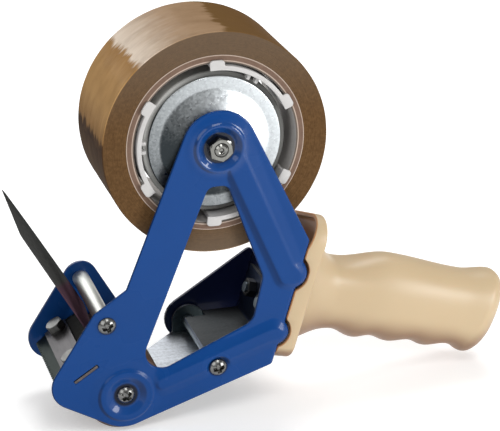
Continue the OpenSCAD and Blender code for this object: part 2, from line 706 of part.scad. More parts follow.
// One spring clip: an arc inside the core, with a pad over the core's end at each tip and two ribs on the drum
module core_clip() {
    sector(0, clip_arc, clip_r - clip_t, clip_r, clip_y[0], clip_y[1]);
    for (side = [-1, 1]) {
        pad = side * (clip_arc - pad_arc) / 2;
        sector(pad, pad_arc - 1, clip_r - clip_t + 0.2, clip_r - 0.2, roll_y[0] - gap - pad_t / 2, clip_y[0] + 1);
        sector(pad, pad_arc, clip_r - clip_t - 1, core_r + pad_out, roll_y[0] - gap - pad_t, roll_y[0] - gap);
        difference() {
            rotate([0, -side * clip_rib_turn, 0]) translate([0, clip_y[0] + clip_rib_in, -clip_rib_w / 2])
                cube([clip_r - clip_t / 2, clip_w - 2 * clip_rib_in, clip_rib_w]);
            bar(hub, clip_y[0] - 1, clip_y[1] + 1, drum_r + drum_seat);
        }
    }
}
module hub_spider() color("#e8e4e0") translate(place)
    for (turn = [0, 120, 240]) rotate([0, -clip_turn - turn, 0]) core_clip();
module tape_core() color("#b59a74") translate(place)
    ring(hub, roll_y[0], roll_y[1], core_r + core_wall, core_r);
module tape_winding() color("#7a5c3e") translate(place)
    ring(hub, roll_y[0], roll_y[1], tape_d / 2, core_r + core_wall + core_fit);

module guide_pin() color("#d9dcde") translate(place) cross_member(guide, guide_d);
module guide_pin_screws() color(zinc) translate(place) end_screws(guide);
module roller_axle() color(steel) translate(place) cross_member(roller, roller_axle_d);
module roller_screws() color(zinc) translate(place) end_screws(roller);
module roller_bushes() color("#3a3a3a") translate(place)
    for (side = [-1, 1]) mirror([0, side > 0 ? 1 : 0, 0]) difference() {
        union() {
            bar(roller, -roller_w / 2 + web_recess, -roller_w / 2 + web_recess + bush_l, roller_axle_d / 2 + bush_wall);
            bar(roller, -roller_w / 2 - bush_flange_t, -roller_w / 2 + web_recess, bush_flange_r);
        }
        bar(roller, -inner, 0, roller_axle_d / 2 + running_fit);
    }
module roller_core() color("#c8c4ba") translate(place) difference() {
    bar(roller, -roller_w / 2, roller_w / 2, roller_d / 2 - tyre_t);
    bar(roller, -roller_w, roller_w, roller_axle_d / 2 + bush_wall + running_fit);
    for (side = [-1, 1]) bar(roller, side * roller_w / 2 - web_recess, side * roller_w / 2 + web_recess, web_r);
}
module roller_tyre() color("#6a4a34") translate(place)
    ring(roller, -roller_w / 2, roller_w / 2, roller_d / 2, roller_d / 2 - tyre_t + core_fit);

module blade_holder() color(steel) translate(place) difference() {
    blade_frame() {
        translate([holder_low, -inner + gap, -holder_t]) cube([holder_high - holder_low, 2 * (inner - gap), holder_t]);
        translate([slot_low, -outer, -holder_t]) cube([slot_high - slot_low, 2 * outer, holder_t]);
    }
    clamp_holes();
}
// Holes of the clamp's bolts through the stack under it
module clamp_holes()
    blade_frame() for (y = [-bolt_y, bolt_y]) translate([bolt_p, y, -2 * holder_t])
        cylinder(h = 3 * holder_t + clamp_q + clamp_t, r = bolt_d / 2 + hole_fit);
teeth = floor(blade_w / tooth_pitch);
module blade() color("#4a4f4c") translate(place) difference() {
    blade_frame() linear_extrude(blade_t) polygon(concat(
        [for (i = [0:teeth - 1]) each
            let (y = (i - teeth / 2) * tooth_pitch) [[tooth_h, y], [0, y + tooth_pitch / 2]]],
        [[tooth_h, teeth * tooth_pitch / 2], [blade_p, teeth * tooth_pitch / 2], [blade_p, -teeth * tooth_pitch / 2]]));
    clamp_holes();
}
module blade_clamp() color(zinc) translate(place) difference() {
    blade_frame() translate([clamp_low, -clamp_w / 2, clamp_q]) cube([clamp_high - clamp_low, clamp_w, clamp_t]);
    clamp_holes();
}
module clamp_bolts() color(zinc) translate(place) blade_frame()
    for (y = [-bolt_y, bolt_y]) translate([bolt_p, y, 0]) {
        seat = clamp_q + clamp_t + lock_washer_t;
        translate([0, 0, seat]) cylinder(h = bolt_head_h, d = bolt_head_d, $fn = 6);
        translate([0, 0, -holder_t - bolt_past]) cylinder(h = holder_t + bolt_past + seat + 0.5, d = bolt_d);
    }
module clamp_washers() color(steel) translate(place) blade_frame()
    for (y = [-bolt_y, bolt_y]) translate([bolt_p, y, clamp_q + clamp_t]) difference() {
        cylinder(h = lock_washer_t, d = lock_washer_d);
        translate([0, 0, -1]) cylinder(h = lock_washer_t + 2, r = bolt_d / 2 + running_fit);
        translate([0, -0.4, -1]) cube([lock_washer_d, 0.8, lock_washer_t + 2]);
    }
module tongue_foot() color("#3c3f41") translate(place) {
    difference() {
        blade_frame() translate([foot_low, -tongue_w / 2, blade_t]) cube([foot_high - foot_low, tongue_w, tongue_t]);
        clamp_holes();
    }
    translate([bend_centre[0], -tongue_w / 2, bend_centre[1]]) rotate([-90, 0, 0])
        rotate([0, 0, 90 - blade_slope]) rotate([0, 0, -tongue_bend]) rotate_extrude(angle = tongue_bend)
            translate([foot_bend_r - tongue_t / 2, 0]) square([tongue_t, tongue_w]);
}
module tongue() color("#3c3f41") translate(place)
    translate([tongue_root[0], 0, tongue_root[1]]) rotate([0, -tongue_lean, 0])
        rotate([90, 0, 90]) translate([0, 0, -tongue_t / 2]) linear_extrude(tongue_t) polygon([
            [-tongue_w / 2, 0], [tongue_w / 2, 0], [tongue_w / 2, tongue_l], [-tongue_w / 2, tongue_l]]);

module cross_pin() color(steel) translate(place) cross_member(cross_at, cross_d);
module cross_pin_screws() color(zinc) translate(place) end_screws(cross_at);
module return_stop() color(zinc) translate(place) difference() {
    union() {
        translate([0, 0, stop_low]) linear_extrude(stop_t) polygon([
            [stop_front, -stop_front_w / 2], [stop_front, stop_front_w / 2], [stop_shoulder, ear_y], [stop_rear, ear_y],
            [stop_rear, -ear_y], [stop_shoulder, -ear_y]]);
        for (side = [-1, 1]) mirror([0, side > 0 ? 1 : 0, 0]) {
            bar(cross_at, -ear_y, ear_t - ear_y, ear_r);
            translate([cross_x - ear_r, -ear_y, stop_low]) cube([2 * ear_r, ear_t, cross_z - stop_low]);
        }
    }
    bar(cross_at, -inner, inner, cross_d / 2 + running_fit);
}
stop_coil = concat(
    [[cross_x + stop_leg, stop_spring_y, cross_z - stop_drop + stop_leg_gap + stop_wire / 2]],
    [for (i = [0:8 * stop_curls])
        [cross_x - stop_coil_r * sin(45 * i), stop_spring_y + stop_pitch * i / 8, cross_z - stop_coil_r * cos(45 * i)]],
    [[cross_x + stop_leg, stop_spring_y + stop_pitch * stop_curls, bracket_z - 2 * gap - stop_wire / 2]]);
module stop_spring() color(steel) translate(place) wire(stop_coil, stop_wire / 2);

echo(str("brake spring, least gap ", least_gap(brake_coil, spring_wire, 5)));
echo(str("stop spring, least gap ", least_gap(stop_coil, stop_wire, 5)));
echo(str("grip above the floor ", grip_low_z - floor_z));

side_frame();
far_nose_plate();
far_arm();
rear_bracket();
handle_guard();
handle_grip();
handle_studs();
handle_nuts();
hub_axle();
hub_nut();
brake_washer();
thrust_washer();
brake_spring();
spring_washer();
tension_nut();
hub_dish();
hub_drum();
hub_spider();
tape_core();
tape_winding();
guide_pin();
guide_pin_screws();
roller_axle();
roller_screws();
roller_bushes();
roller_core();
roller_tyre();
blade_holder();
blade();
blade_clamp();
clamp_bolts();
clamp_washers();
tongue_foot();
tongue();
cross_pin();
cross_pin_screws();
return_stop();
stop_spring();
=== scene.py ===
import json
import math

import bmesh
import bpy
import numpy as np
from mathutils import Matrix, Vector
from mathutils.geometry import delaunay_2d_cdt


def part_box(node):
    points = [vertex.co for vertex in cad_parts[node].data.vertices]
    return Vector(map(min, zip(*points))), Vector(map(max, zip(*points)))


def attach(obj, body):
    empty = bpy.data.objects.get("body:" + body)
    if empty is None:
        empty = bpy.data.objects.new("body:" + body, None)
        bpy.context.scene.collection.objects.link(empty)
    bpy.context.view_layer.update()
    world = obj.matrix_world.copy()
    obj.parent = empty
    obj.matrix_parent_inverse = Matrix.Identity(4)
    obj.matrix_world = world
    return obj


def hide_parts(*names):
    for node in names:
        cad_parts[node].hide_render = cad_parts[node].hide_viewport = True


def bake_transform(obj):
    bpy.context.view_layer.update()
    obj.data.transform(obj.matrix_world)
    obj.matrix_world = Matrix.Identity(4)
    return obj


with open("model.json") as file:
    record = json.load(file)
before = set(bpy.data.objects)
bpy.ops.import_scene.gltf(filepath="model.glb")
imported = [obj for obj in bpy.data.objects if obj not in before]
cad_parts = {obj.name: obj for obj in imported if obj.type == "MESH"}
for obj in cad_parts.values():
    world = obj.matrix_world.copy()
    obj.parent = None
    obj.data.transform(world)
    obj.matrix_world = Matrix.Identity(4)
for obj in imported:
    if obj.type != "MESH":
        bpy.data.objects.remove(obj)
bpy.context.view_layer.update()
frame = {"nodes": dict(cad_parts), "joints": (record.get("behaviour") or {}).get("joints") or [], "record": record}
print("frame loaded:", len(frame["nodes"]), "nodes")

mm = 0.001
joints = {j["name"]: j for j in frame["joints"]}
hubAt = Vector(joints["hub_spin"]["pos_m"])  # side-view places are counted from here, in mm
wallFront = (-0.96, 0, 0.28)  # direction that the leaning rear wall faces


def fromHub(joint):  # a joint's place in the side view
    place = (Vector(joints[joint]["pos_m"]) - hubAt) / mm
    return np.array((place.x, place.z))


rollerAt = fromHub("roller_spin")
crossAt = fromHub("stop_swing")
tongueRoot = fromHub("tongue_flex")


def nodeBox(node):  # lowest and highest corner of a node, in mm from the hub
    low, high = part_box(node)
    return (low - hubAt) / mm, (high - hubAt) / mm


def inRoom(point):  # from mm counted from the hub to metres
    return hubAt + Vector(point) * mm


def onSide(place):  # the same for a place in the side view
    return inRoom((place[0], 0, place[1]))


# Shader sockets as numbers

class Socket:
    def __init__(self, tree, socket):
        self.tree = tree
        self.socket = socket

    def maths(self, operation, *values):
        return self.add("ShaderNodeMath", {"operation": operation}, dict(enumerate(values)))

    def __add__(self, other):
        return self.maths("ADD", self, other)

    def __radd__(self, other):
        return self.maths("ADD", other, self)

    def __sub__(self, other):
        return self.maths("SUBTRACT", self, other)

    def __rsub__(self, other):
        return self.maths("SUBTRACT", other, self)

    def __mul__(self, other):
        return self.maths("MULTIPLY", self, other)

    def __rmul__(self, other):
        return self.maths("MULTIPLY", other, self)

    def __truediv__(self, other):
        return self.maths("DIVIDE", self, other)

    def __pow__(self, other):
        return self.maths("POWER", self, other)

    def clamp(self, low, high):
        return self.add("ShaderNodeClamp", {}, {"Value": self, "Min": low, "Max": high})

    def steps(self, start, end):  # 0 before start, 1 after end
        return self.add("ShaderNodeMapRange", {"interpolation_type": "SMOOTHSTEP"},
                        {"Value": self, "From Min": start, "From Max": end})

    def add(self, kind, settings, inputs, output=0):
        node = self.tree.nodes.new(kind)
        for name, value in settings.items():
            if name == "stops":
                ramp = node.color_ramp
                while len(ramp.elements) < len(value):
                    ramp.elements.new(0.5)
                for element, (place, colour) in zip(ramp.elements, value):
                    element.position = place
                    element.color = (*colour, 1)
            else:
                setattr(node, name, value)
        for name, value in inputs.items():
            if isinstance(value, Socket):
                self.tree.links.new(value.socket, node.inputs[name])
            else:
                node.inputs[name].default_value = value
        return Socket(self.tree, node.outputs[output])


class Finish:  # one material and the handles that its recipe needs
    def __init__(self, name, constants):
        self.material = bpy.data.materials.new(name)
        self.material.use_nodes = True
        self.tree = self.material.node_tree
        self.shader = self.tree.nodes["Principled BSDF"]
        self.start = Socket(self.tree, None)
        self.place = self.node("ShaderNodeTexCoord", {}, {}, "Object")
        for socket, value in constants.items():
            self.shader.inputs[socket].default_value = value

    def node(self, kind, settings, inputs, output=0):
        return self.start.add(kind, settings, inputs, output)

    def noise(self, scale, detail=3, rough=0.5, vector=None):
        return self.node("ShaderNodeTexNoise", {}, {"Vector": vector or self.place, "Scale": scale,
                                                    "Detail": detail, "Roughness": rough})

    def cells(self, scale):  # a grey of its own for each crystal
        cell = self.node("ShaderNodeTexVoronoi", {"feature": "F1"},
                         {"Vector": self.place, "Scale": scale}, "Color")
        return self.node("ShaderNodeRGBToBW", {}, {"Color": cell})

    def stretched(self, x, y, z):
        return self.node("ShaderNodeMapping", {}, {"Vector": self.place, "Scale": (x, y, z)})

    def point(self, x, y=0.0):
        return self.node("ShaderNodeCombineXYZ", {}, {"X": x, "Y": y, "Z": 0.0})

    def axes(self):
        split = self.node("ShaderNodeSeparateXYZ", {}, {"Vector": self.place})
        return [Socket(self.tree, s) for s in split.socket.node.outputs]

    def radius(self, x, z, centre):  # distance from an axis along Y
        return ((x - centre.x) ** 2.0 + (z - centre.z) ** 2.0) ** 0.5

    def facing(self, x, y, z):  # how far the surface faces a direction of the room
        normal = self.node("ShaderNodeNewGeometry", {}, {}, "Normal")
        return self.node("ShaderNodeVectorMath", {"operation": "DOT_PRODUCT"},
                         {0: normal, 1: (x, y, z)}, "Value")

    def mix(self, share, first, second):
        first, second = ((*c, 1) if isinstance(c, tuple) else c for c in (first, second))
        return self.node("ShaderNodeMix", {"data_type": "RGBA"}, {0: share, 6: first, 7: second}, 2)

    def feed(self, colour, rough, coat=None):
        for name, value in (("Base Color", colour), ("Roughness", rough), ("Coat Weight", coat)):
            if value:
                self.tree.links.new(value.socket, self.shader.inputs[name])

    def bump(self, height, distance, strength):
        normal = self.node("ShaderNodeBump", {}, {"Height": height, "Distance": distance,
                                                  "Strength": strength}, "Normal")
        self.tree.links.new(normal.socket, self.shader.inputs["Normal"])
        return self


def bluePaint(name, deep, bright, shadeNavy, coat):  # painted shade in the wells, and gloss, go by the distance from nut, screw and pin; painted shade also on the far side, the rear end and surfaces facing down and to the front
    look = {"shade": (0.001, 0.002, 0.006), "rough": 0.22,
            "nutWellShade": (0.0068, 0.0080), "screwWellShade": (0.0050, 0.0066), "pinWellShade": (0.0042, 0.0052),
            "nutGloss": (0.0115, 0.0150), "screwGloss": (0.0085, 0.0120),
            "farSideShade": (-0.012, 0.024), "rearEndShade": (-0.070, 0.045), "undersideShade": (0.22, 0.50)}
    f = Finish(name, {"Coat Roughness": 0.05, "Specular IOR Level": 0.10})
    cloud = f.noise(28)
    x, y, z = f.axes()
    nut, screw, pin = (f.radius(x, z, centre) for centre in (hubAt, onSide(rollerAt), onSide(crossAt)))
    # painted shade: the blue darkens in the wells round the hub nut and the roller screw, and in a ring round the
    # cross screw
    wellShade = 2.7 - nut.steps(*look["nutWellShade"]) - screw.steps(*look["screwWellShade"])
    wellShade = wellShade - pin.steps(*look["pinWellShade"]) * 0.7
    gloss = 0.65 - nut.steps(*look["nutGloss"]) * 0.45 - screw.steps(*look["screwGloss"]) * 0.20
    # painted shade: towards the far side and the rear end the blue turns to the navy
    farShade = (y - hubAt.y).steps(*look["farSideShade"]) * (x - hubAt.x).steps(*look["rearEndShade"])
    colour = f.mix(farShade * 0.8, f.mix(cloud, deep, bright), shadeNavy)
    # painted shade on surfaces facing down and to the front
    colour = f.mix(f.facing(-0.90, 0, -0.43).steps(*look["undersideShade"]) * 0.45, colour, look["shade"])
    f.feed(f.mix(wellShade.clamp(0, 0.95), colour, look["shade"]), look["rough"] + cloud * 0.10, gloss + coat)
    return f.bump(f.noise(900, 2), 0.00004, 0.4)


def moulding():
    look = {"dark": (0.462, 0.346, 0.208), "pale": (0.518, 0.398, 0.248), "under": (0.185, 0.092, 0.048),
            "trayTapeReflection": (0.560, 0.270, 0.110), "undersideShade": (-0.62, -0.02), "front": (0.25, 0.75)}
    f = Finish("beigeMoulding", {"Specular IOR Level": 0.45, "Subsurface Weight": 0.05,
                                 "Subsurface Scale": 0.004})
    cloud = f.noise(30)
    # painted shade: surfaces facing down turn to the dark under brown
    under = 1 - f.facing(0, 0, 1).steps(*look["undersideShade"])
    lit = f.mix(under * 0.85, f.mix(cloud, look["dark"], look["pale"]), look["under"])
    # painted reflection: surfaces facing the roll take a painted brown reflection of the tape
    front = f.facing(*wallFront).steps(*look["front"])
    f.feed(f.mix(front, lit, look["trayTapeReflection"]), 0.36 + cloud * 0.08)
    return f.bump(f.noise(1500, 2), 0.00003, 0.4)


def tapeFilm():
    look = {"dark": (0.070, 0.037, 0.016), "mid": (0.135, 0.074, 0.032), "grey": (0.125, 0.094, 0.068),
            "rim": (0.0520, 0.0525), "top": (0.005, 0.050), "bottom": (0.030, 0.052),
            "turns": [  # degrees round the roll, and the colour there: pale silvered patches of trapped air with painted sheen, and painted light and shade between them
                (60, (0.110, 0.058, 0.021)), (84, (0.135, 0.074, 0.026)), (86, (0.290, 0.185, 0.105)),
                (106, (0.370, 0.250, 0.155)), (131, (0.720, 0.610, 0.500)), (134, (0.320, 0.170, 0.055)),
                (146, (0.440, 0.262, 0.112)), (160, (0.420, 0.250, 0.105)), (173, (0.250, 0.135, 0.050)),
                (176, (0.034, 0.016, 0.008)), (240, (0.130, 0.074, 0.030)), (246, (0.260, 0.170, 0.095)),
                (290, (0.300, 0.200, 0.120)), (297, (0.125, 0.072, 0.030))]}
    f = Finish("tapeFilm", {"Specular IOR Level": 0.0, "Coat Roughness": 0.15})
    x, y, z = f.axes()
    radius = f.radius(x, z, hubAt)
    angle = f.start.maths("ARCTAN2", z - hubAt.z, x - hubAt.x)
    teeth = f.noise(190, 4, 0.75, f.point(angle * 0.012, y))
    ragged = f.noise(60, 3, 0.6)
    share = angle / (2 * math.pi) + (teeth - 0.5) * 0.05 + (ragged - 0.5) * 0.02 + 1.0
    share = f.start.maths("FRACT", share)
    stops = [(turn / 360, colour) for turn, colour in look["turns"]]
    # the outer turn's colour by its angle round the roll: silvered patches with painted sheen, painted light and
    # painted shade
    silveringAndSheen = f.node("ShaderNodeValToRGB", {"stops": stops}, {"Fac": share})
    streak = f.noise(70, 4, 0.6, f.point(angle * 0.03, y))
    layers = f.noise(2600, 2, 0.6, f.point(radius))
    speck = f.noise(700, 3, 0.7)
    high = z - hubAt.z
    cool = high.steps(*look["top"]) * 0.6 + (0 - high).steps(*look["bottom"]) * 0.7
    face = f.mix((layers * 0.5 + speck * 0.5).steps(0.3, 0.7), look["dark"], look["mid"])
    face = f.mix(cool, face, look["grey"])
    rim = radius.steps(*look["rim"])
    outside = f.mix(streak.steps(0.35, 0.8) * 0.35, silveringAndSheen, look["mid"])
    f.feed(f.mix(rim, face, outside), 0.48 - rim * 0.20 + streak * 0.10, rim * 0.05)
    return f.bump(layers * (1 - rim) + streak * rim * 0.3, 0.00012, 0.7)


def cardboard():
    look = {"dark": (0.105, 0.062, 0.043), "pale": (0.190, 0.122, 0.088), "line": (0.50, 0.40, 0.33),
            "gap": (0.03, 0.025, 0.02), "bore": (0.460, 0.440, 0.420), "boreDark": (0.320, 0.300, 0.285),
            "boreAt": (0.03804, 0.03812), "gapAt": (0.03865, 0.03885),
            "innerLine": (0.03910, 0.03935), "outerLine": (0.04125, 0.04145)}
    f = Finish("coreBoard", {"Specular IOR Level": 0.25})
    fibre = f.noise(420, 4, 0.65)
    x, _, z = f.axes()
    radius = f.radius(x, z, hubAt)
    plies = f.noise(1500, 2, 0.6, f.point(radius))
    edge = f.mix((plies * 0.7 + fibre * 0.3).steps(0.30, 0.70), look["dark"], look["pale"])
    line = (1 - radius.steps(*look["innerLine"])) + radius.steps(*look["outerLine"])
    edge = f.mix(line * 0.85, edge, look["line"])
    # painted shade: a dark ring on the front edge next to the bore stands for the shaded gap to the drum
    edge = f.mix((1 - radius.steps(*look["gapAt"])) * 0.8, edge, look["gap"])
    inside = f.mix(fibre, look["boreDark"], look["bore"])
    f.feed(f.mix(radius.steps(*look["boreAt"]), inside, edge), 0.72 + fibre * 0.15)
    return f.bump(fibre, 0.00008, 0.6)


def steelShadedByFacing(name, up, side, front, rough, near=None):  # painted light and shade: tones by facing: up, sideways, forwards, near
    look = {"grain": (0.02, 0.02, 0.02), "up": (0.3, 0.8), "front": (0.55, 0.85), "near": (0.7, 0.9)}
    f = Finish(name, {"Metallic": 1.0})
    grain = f.noise(60, 4, 0.6, f.stretched(1, 6, 6)) * 0.4 + f.noise(620, 3, 0.7) * 0.6
    tone = f.mix(f.facing(0, 0, 1).steps(*look["up"]), side, up)
    tone = f.mix(f.facing(*wallFront).steps(*look["front"]), tone, front)
    tone = f.mix(f.facing(0, -1, 0).steps(*look["near"]), tone, near or side)
    f.feed(f.mix(grain.steps(0.3, 0.75) * 0.45, tone, look["grain"]), rough + grain * 0.12)
    return f.bump(grain, 0.00003, 0.3)


def zinc(name, dark, pale, scale, rough):
    f = Finish(name, {"Metallic": 1.0})
    grey = f.cells(scale)
    fine = f.noise(260)
    f.feed(f.mix(grey * 0.75 + fine * 0.25, dark, pale), rough + grey * 0.10 + fine * 0.06)
    return f.bump(grey * 0.5 + fine * 0.5, 0.00005, 0.4)


def spangleWithSheen():  # painted light and reflection: paler where the dish faces up and to the rear, towards its upper rear and on its rim
    look = {"dark": (0.034, 0.041, 0.045), "pale": (0.73, 0.77, 0.79),
            "rim": (0.0252, 0.0262), "lit": (-0.29, 0.39)}
    f = Finish("spangledZinc", {"Metallic": 1.0})
    grain = f.cells(1100)
    x, _, z = f.axes()
    slant = (x - hubAt.x) * 3.0 + (z - hubAt.z) * 2.4 + f.radius(x, z, hubAt).steps(*look["rim"]) * 0.06
    lit = (f.facing(0.75, 0, 0.66) + slant + (grain - 0.5) * 0.10).steps(*look["lit"])
    f.feed(f.mix(lit, look["dark"], look["pale"]), 0.26 + grain * 0.12)
    return f.bump(grain, 0.00004, 0.35)


def steel(name, dark, pale, rough):
    f = Finish(name, {"Metallic": 1.0})
    grain = f.noise(60, 4, 0.6, f.stretched(6, 1, 6))
    f.feed(f.mix(grain, dark, pale), rough + grain * 0.12)
    return f.bump(grain, 0.00003, 0.3)


def bluedStrip():  # heat-tinted above its bend
    look = {"dark": (0.020, 0.020, 0.019), "pale": (0.066, 0.067, 0.065), "heat": (0.062, 0.030, 0.044),
            "heatEnd": (0.020, 0.0235), "heatStart": (-0.004, 0.004)}
    f = Finish("bluedStrip", {"Specular IOR Level": 0.0})
    grain = f.noise(420, 4, 0.7)
    _, y, z = f.axes()
    high = z - onSide(tongueRoot).z
    slant = high + (y - hubAt.y) * 0.40
    tint = (1 - slant.steps(*look["heatEnd"])) * high.steps(*look["heatStart"])
    f.feed(f.mix(tint * 0.85, f.mix(grain, look["dark"], look["pale"]), look["heat"]), 0.42 + grain * 0.2)
    return f.bump(grain, 0.00006, 0.5)


def plastic(name, dark, pale, rough):
    f = Finish(name, {"Specular IOR Level": 0.45})
    cloud = f.noise(90)
    f.feed(f.mix(cloud, dark, pale), rough + cloud * 0.12)
    return f.bump(f.noise(1400, 2), 0.00003, 0.3)


def drumGrey():  # paler where the lamp on the left reaches it
    look = {"dark": (0.105, 0.105, 0.098), "pale": (0.38, 0.38, 0.362), "left": (0.002, 0.026)}
    f = Finish("greyDrum", {"Specular IOR Level": 0.3})
    cloud = f.noise(90)
    x = f.axes()[0]
    left = ((hubAt.x - x) + (cloud - 0.5) * 0.006).steps(*look["left"])
    f.feed(f.mix(left, look["dark"], look["pale"]), 0.36 + cloud * 0.12)
    return f.bump(f.noise(1400, 2), 0.00003, 0.3)


finishes = {  # by material slot
    # the third colour of each blue is the navy of its painted shade
    "blue_paint": bluePaint("bluePaint", (0.0018, 0.037, 0.164), (0.0028, 0.049, 0.210),
                            (0.004, 0.020, 0.055), 0.18),
    "beige_plastic": moulding(),
    "brown_tape": tapeFilm(),
    "cardboard_core": cardboard(),
    "zinc_steel": zinc("brightZinc", (0.26, 0.26, 0.25), (0.52, 0.53, 0.52), 260, 0.14),
    "grey_steel": steel("greySteel", (0.16, 0.19, 0.22), (0.27, 0.32, 0.36), 0.36),
    "spring_steel": steel("springWire", (0.34, 0.35, 0.36), (0.50, 0.51, 0.52), 0.30),
    "chrome": steel("satinChrome", (0.58, 0.59, 0.56), (0.74, 0.75, 0.71), 0.40),
    "blade_steel": steel("bladeSteel", (0.022, 0.030, 0.027), (0.056, 0.070, 0.064), 0.42),
    "blued_steel": bluedStrip(),
    "white_plastic": plastic("whiteNylon", (0.44, 0.43, 0.42), (0.52, 0.51, 0.50), 0.38),
    "grey_plastic": drumGrey(),
    "black_plastic": plastic("blackNylon", (0.020, 0.020, 0.021), (0.035, 0.035, 0.036), 0.5),
    "brown_rubber": plastic("brownRubber", (0.060, 0.030, 0.018), (0.10, 0.052, 0.032), 0.5),
    "fibre": plastic("fibreWasher", (0.085, 0.055, 0.036), (0.14, 0.09, 0.06), 0.75),
}
darkNut = steel("darkNut", (0.05, 0.05, 0.05), (0.10, 0.10, 0.095), 0.34)
nodeFinishes = {  # nodes whose tone differs from their slot's
    # painted shade: darker copies of the blue paint for the far nose plate and the far arm
    "far_nose_plate": bluePaint("shadedFarBlue", (0.005, 0.038, 0.150), (0.007, 0.048, 0.190),
                                (0.005, 0.024, 0.080), 0.12),
    "far_arm": bluePaint("shadeBlue", (0.003, 0.009, 0.014), (0.004, 0.012, 0.020),
                         (0.010, 0.014, 0.060), 0.10),
    "blade_clamp": steel("dullSteel", (0.060, 0.058, 0.060), (0.210, 0.202, 0.206), 0.34),
    "clamp_washers": darkNut,
    # painted light and shade by facing on the return stop, the rear bracket and the blade holder
    "return_stop": steelShadedByFacing("stopZinc", (0.80, 0.84, 0.90), (0.055, 0.075, 0.080),
                              (0.30, 0.31, 0.32), 0.32),
    "rear_bracket": steelShadedByFacing("bracketSteel", (0.085, 0.092, 0.096), (0.30, 0.34, 0.38),
                               (0.05, 0.07, 0.13), 0.36),
    "blade_holder": steelShadedByFacing("holderSteel", (0.030, 0.038, 0.035), (0.026, 0.034, 0.031),
                               (0.030, 0.038, 0.035), 0.42, (0.17, 0.145, 0.14)),
}
dishZinc = spangleWithSheen()
boltSteel = steel("boltSteel", (0.05, 0.05, 0.048), (0.30, 0.30, 0.29), 0.26)
screwSteel = steel("screwSteel", (0.07, 0.07, 0.068), (0.31, 0.31, 0.30), 0.17)
nutChrome = steel("nutChrome", (0.13, 0.13, 0.12), (0.34, 0.34, 0.32), 0.10)
print("finishes mixed for", len(finishes), "slots and", len(nodeFinishes), "single nodes")


# Making meshes: a mesh is its points, in mm from the hub, and its faces

def dress(data, finish, sharp):
    data.materials.clear()
    data.materials.append(finish.material)
    data.set_sharp_from_angle(angle=math.radians(sharp))
    for polygon in data.polygons:
        polygon.use_smooth = True


def newPiece(name, mesh, finish, sharp):
    points, faces = mesh
    data = bpy.data.meshes.new(name)
    data.from_pydata([inRoom(p) for p in points], [], [[int(i) for i in f] for f in faces])
    data.validate()
    work = bmesh.new()
    work.from_mesh(data)
    bmesh.ops.remove_doubles(work, verts=work.verts, dist=1e-7)
    bmesh.ops.recalc_face_normals(work, faces=work.faces)
    work.to_mesh(data)
    work.free()
    piece = bpy.data.objects.new(name, data)
    bpy.context.scene.collection.objects.link(piece)
    dress(data, finish, sharp)
    return piece


def addPiece(name, mesh, body, slot, node, sharp, finish=None):
    piece = newPiece(name, mesh, finish or finishes[slot], sharp)
    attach(piece, body)
    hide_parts(node)


def joined(meshes):
    points, faces = [], []
    for p, f in meshes:
        base = len(points)
        points += list(p)
        faces += [[base + i for i in face] for face in f]
    return points, faces


def around(count):  # even turns of a circle
    return [2 * math.pi * i / count for i in range(count)]


def ringAt(radius, level, sides):  # round the third axis
    return [(radius * math.cos(a), radius * math.sin(a), level) for a in around(sides)]


def ringFaces(count, sides, closed=False):
    faces = []
    for k in range(count if closed else count - 1):
        for i in range(sides):
            a, b = k * sides + i, k * sides + (i + 1) % sides
            c, d = ((k + 1) % count) * sides + i, ((k + 1) % count) * sides + (i + 1) % sides
            faces.append([a, b, d, c])
    return faces


def turned(profile, at=(0, 0), sides=144, closed=True):  # [radius, y] turned about an axis along Y
    points = []
    for radius, y in profile:
        points += [(at[0] + x, level, at[1] + z) for x, z, level in ringAt(radius, y, sides)]
    return points, ringFaces(len(profile), sides, closed)


def lofted(rings):  # closed rings of points, with capped ends
    sides = len(rings[0])
    points = [p for ring in rings for p in ring]
    faces = ringFaces(len(rings), sides)
    last = (len(rings) - 1) * sides
    return points, faces + [list(range(sides))[::-1], [last + i for i in range(sides)]]


def rectangle(left, right, low, high, first, second):  # corners for a profile, with radii at left and right
    return [((left, low), first), ((right, low), second), ((right, high), second), ((left, high), first)]


def roundedProfile(corners, steps):  # [point, radius] corners of a closed profile
    made = []
    for k, (b, r) in enumerate(corners):
        a, c = np.array(corners[k - 1][0], float), np.array(corners[(k + 1) % len(corners)][0], float)
        made += arcCorner(a, np.array(b, float), c, r, steps)
    return made


def arcCorner(a, b, c, r, steps):
    if r <= 0:
        return [b]
    u, v = (a - b) / np.linalg.norm(a - b), (c - b) / np.linalg.norm(c - b)
    half = math.acos(max(-1, min(1, float(u @ v)))) / 2
    centre = b + (u + v) / np.linalg.norm(u + v) * r / math.sin(half)
    start, end = b + u * r / math.tan(half) - centre, b + v * r / math.tan(half) - centre
    first = math.atan2(start[1], start[0])
    turn = math.atan2(end[1], end[0]) - first
    turn = turn - 2 * math.pi if turn > math.pi else turn + 2 * math.pi if turn < -math.pi else turn
    return [centre + r * direction(first + turn * i / steps) for i in range(steps + 1)]


def direction(turn):
    return np.array((math.cos(turn), math.sin(turn)))


def quarter(radius, count):  # points of a quarter round, counted from its two tangent lines
    turns = np.linspace(0, math.pi / 2, count)
    return [(radius * (1 - math.cos(a)), radius * (1 - math.sin(a))) for a in turns]


def smoothStep(value, low, high):
    share = np.clip((np.asarray(value, float) - low) / (high - low), 0, 1)
    return share * share * (3 - 2 * share)


# Camera at the photograph's place

cameraSet = {"azimuth": -16.91, "elevation": 22.3, "at": (-222.9, -809.2, 299.9), "lens": 138.79,
             "sensor": 36, "farthest": 20}


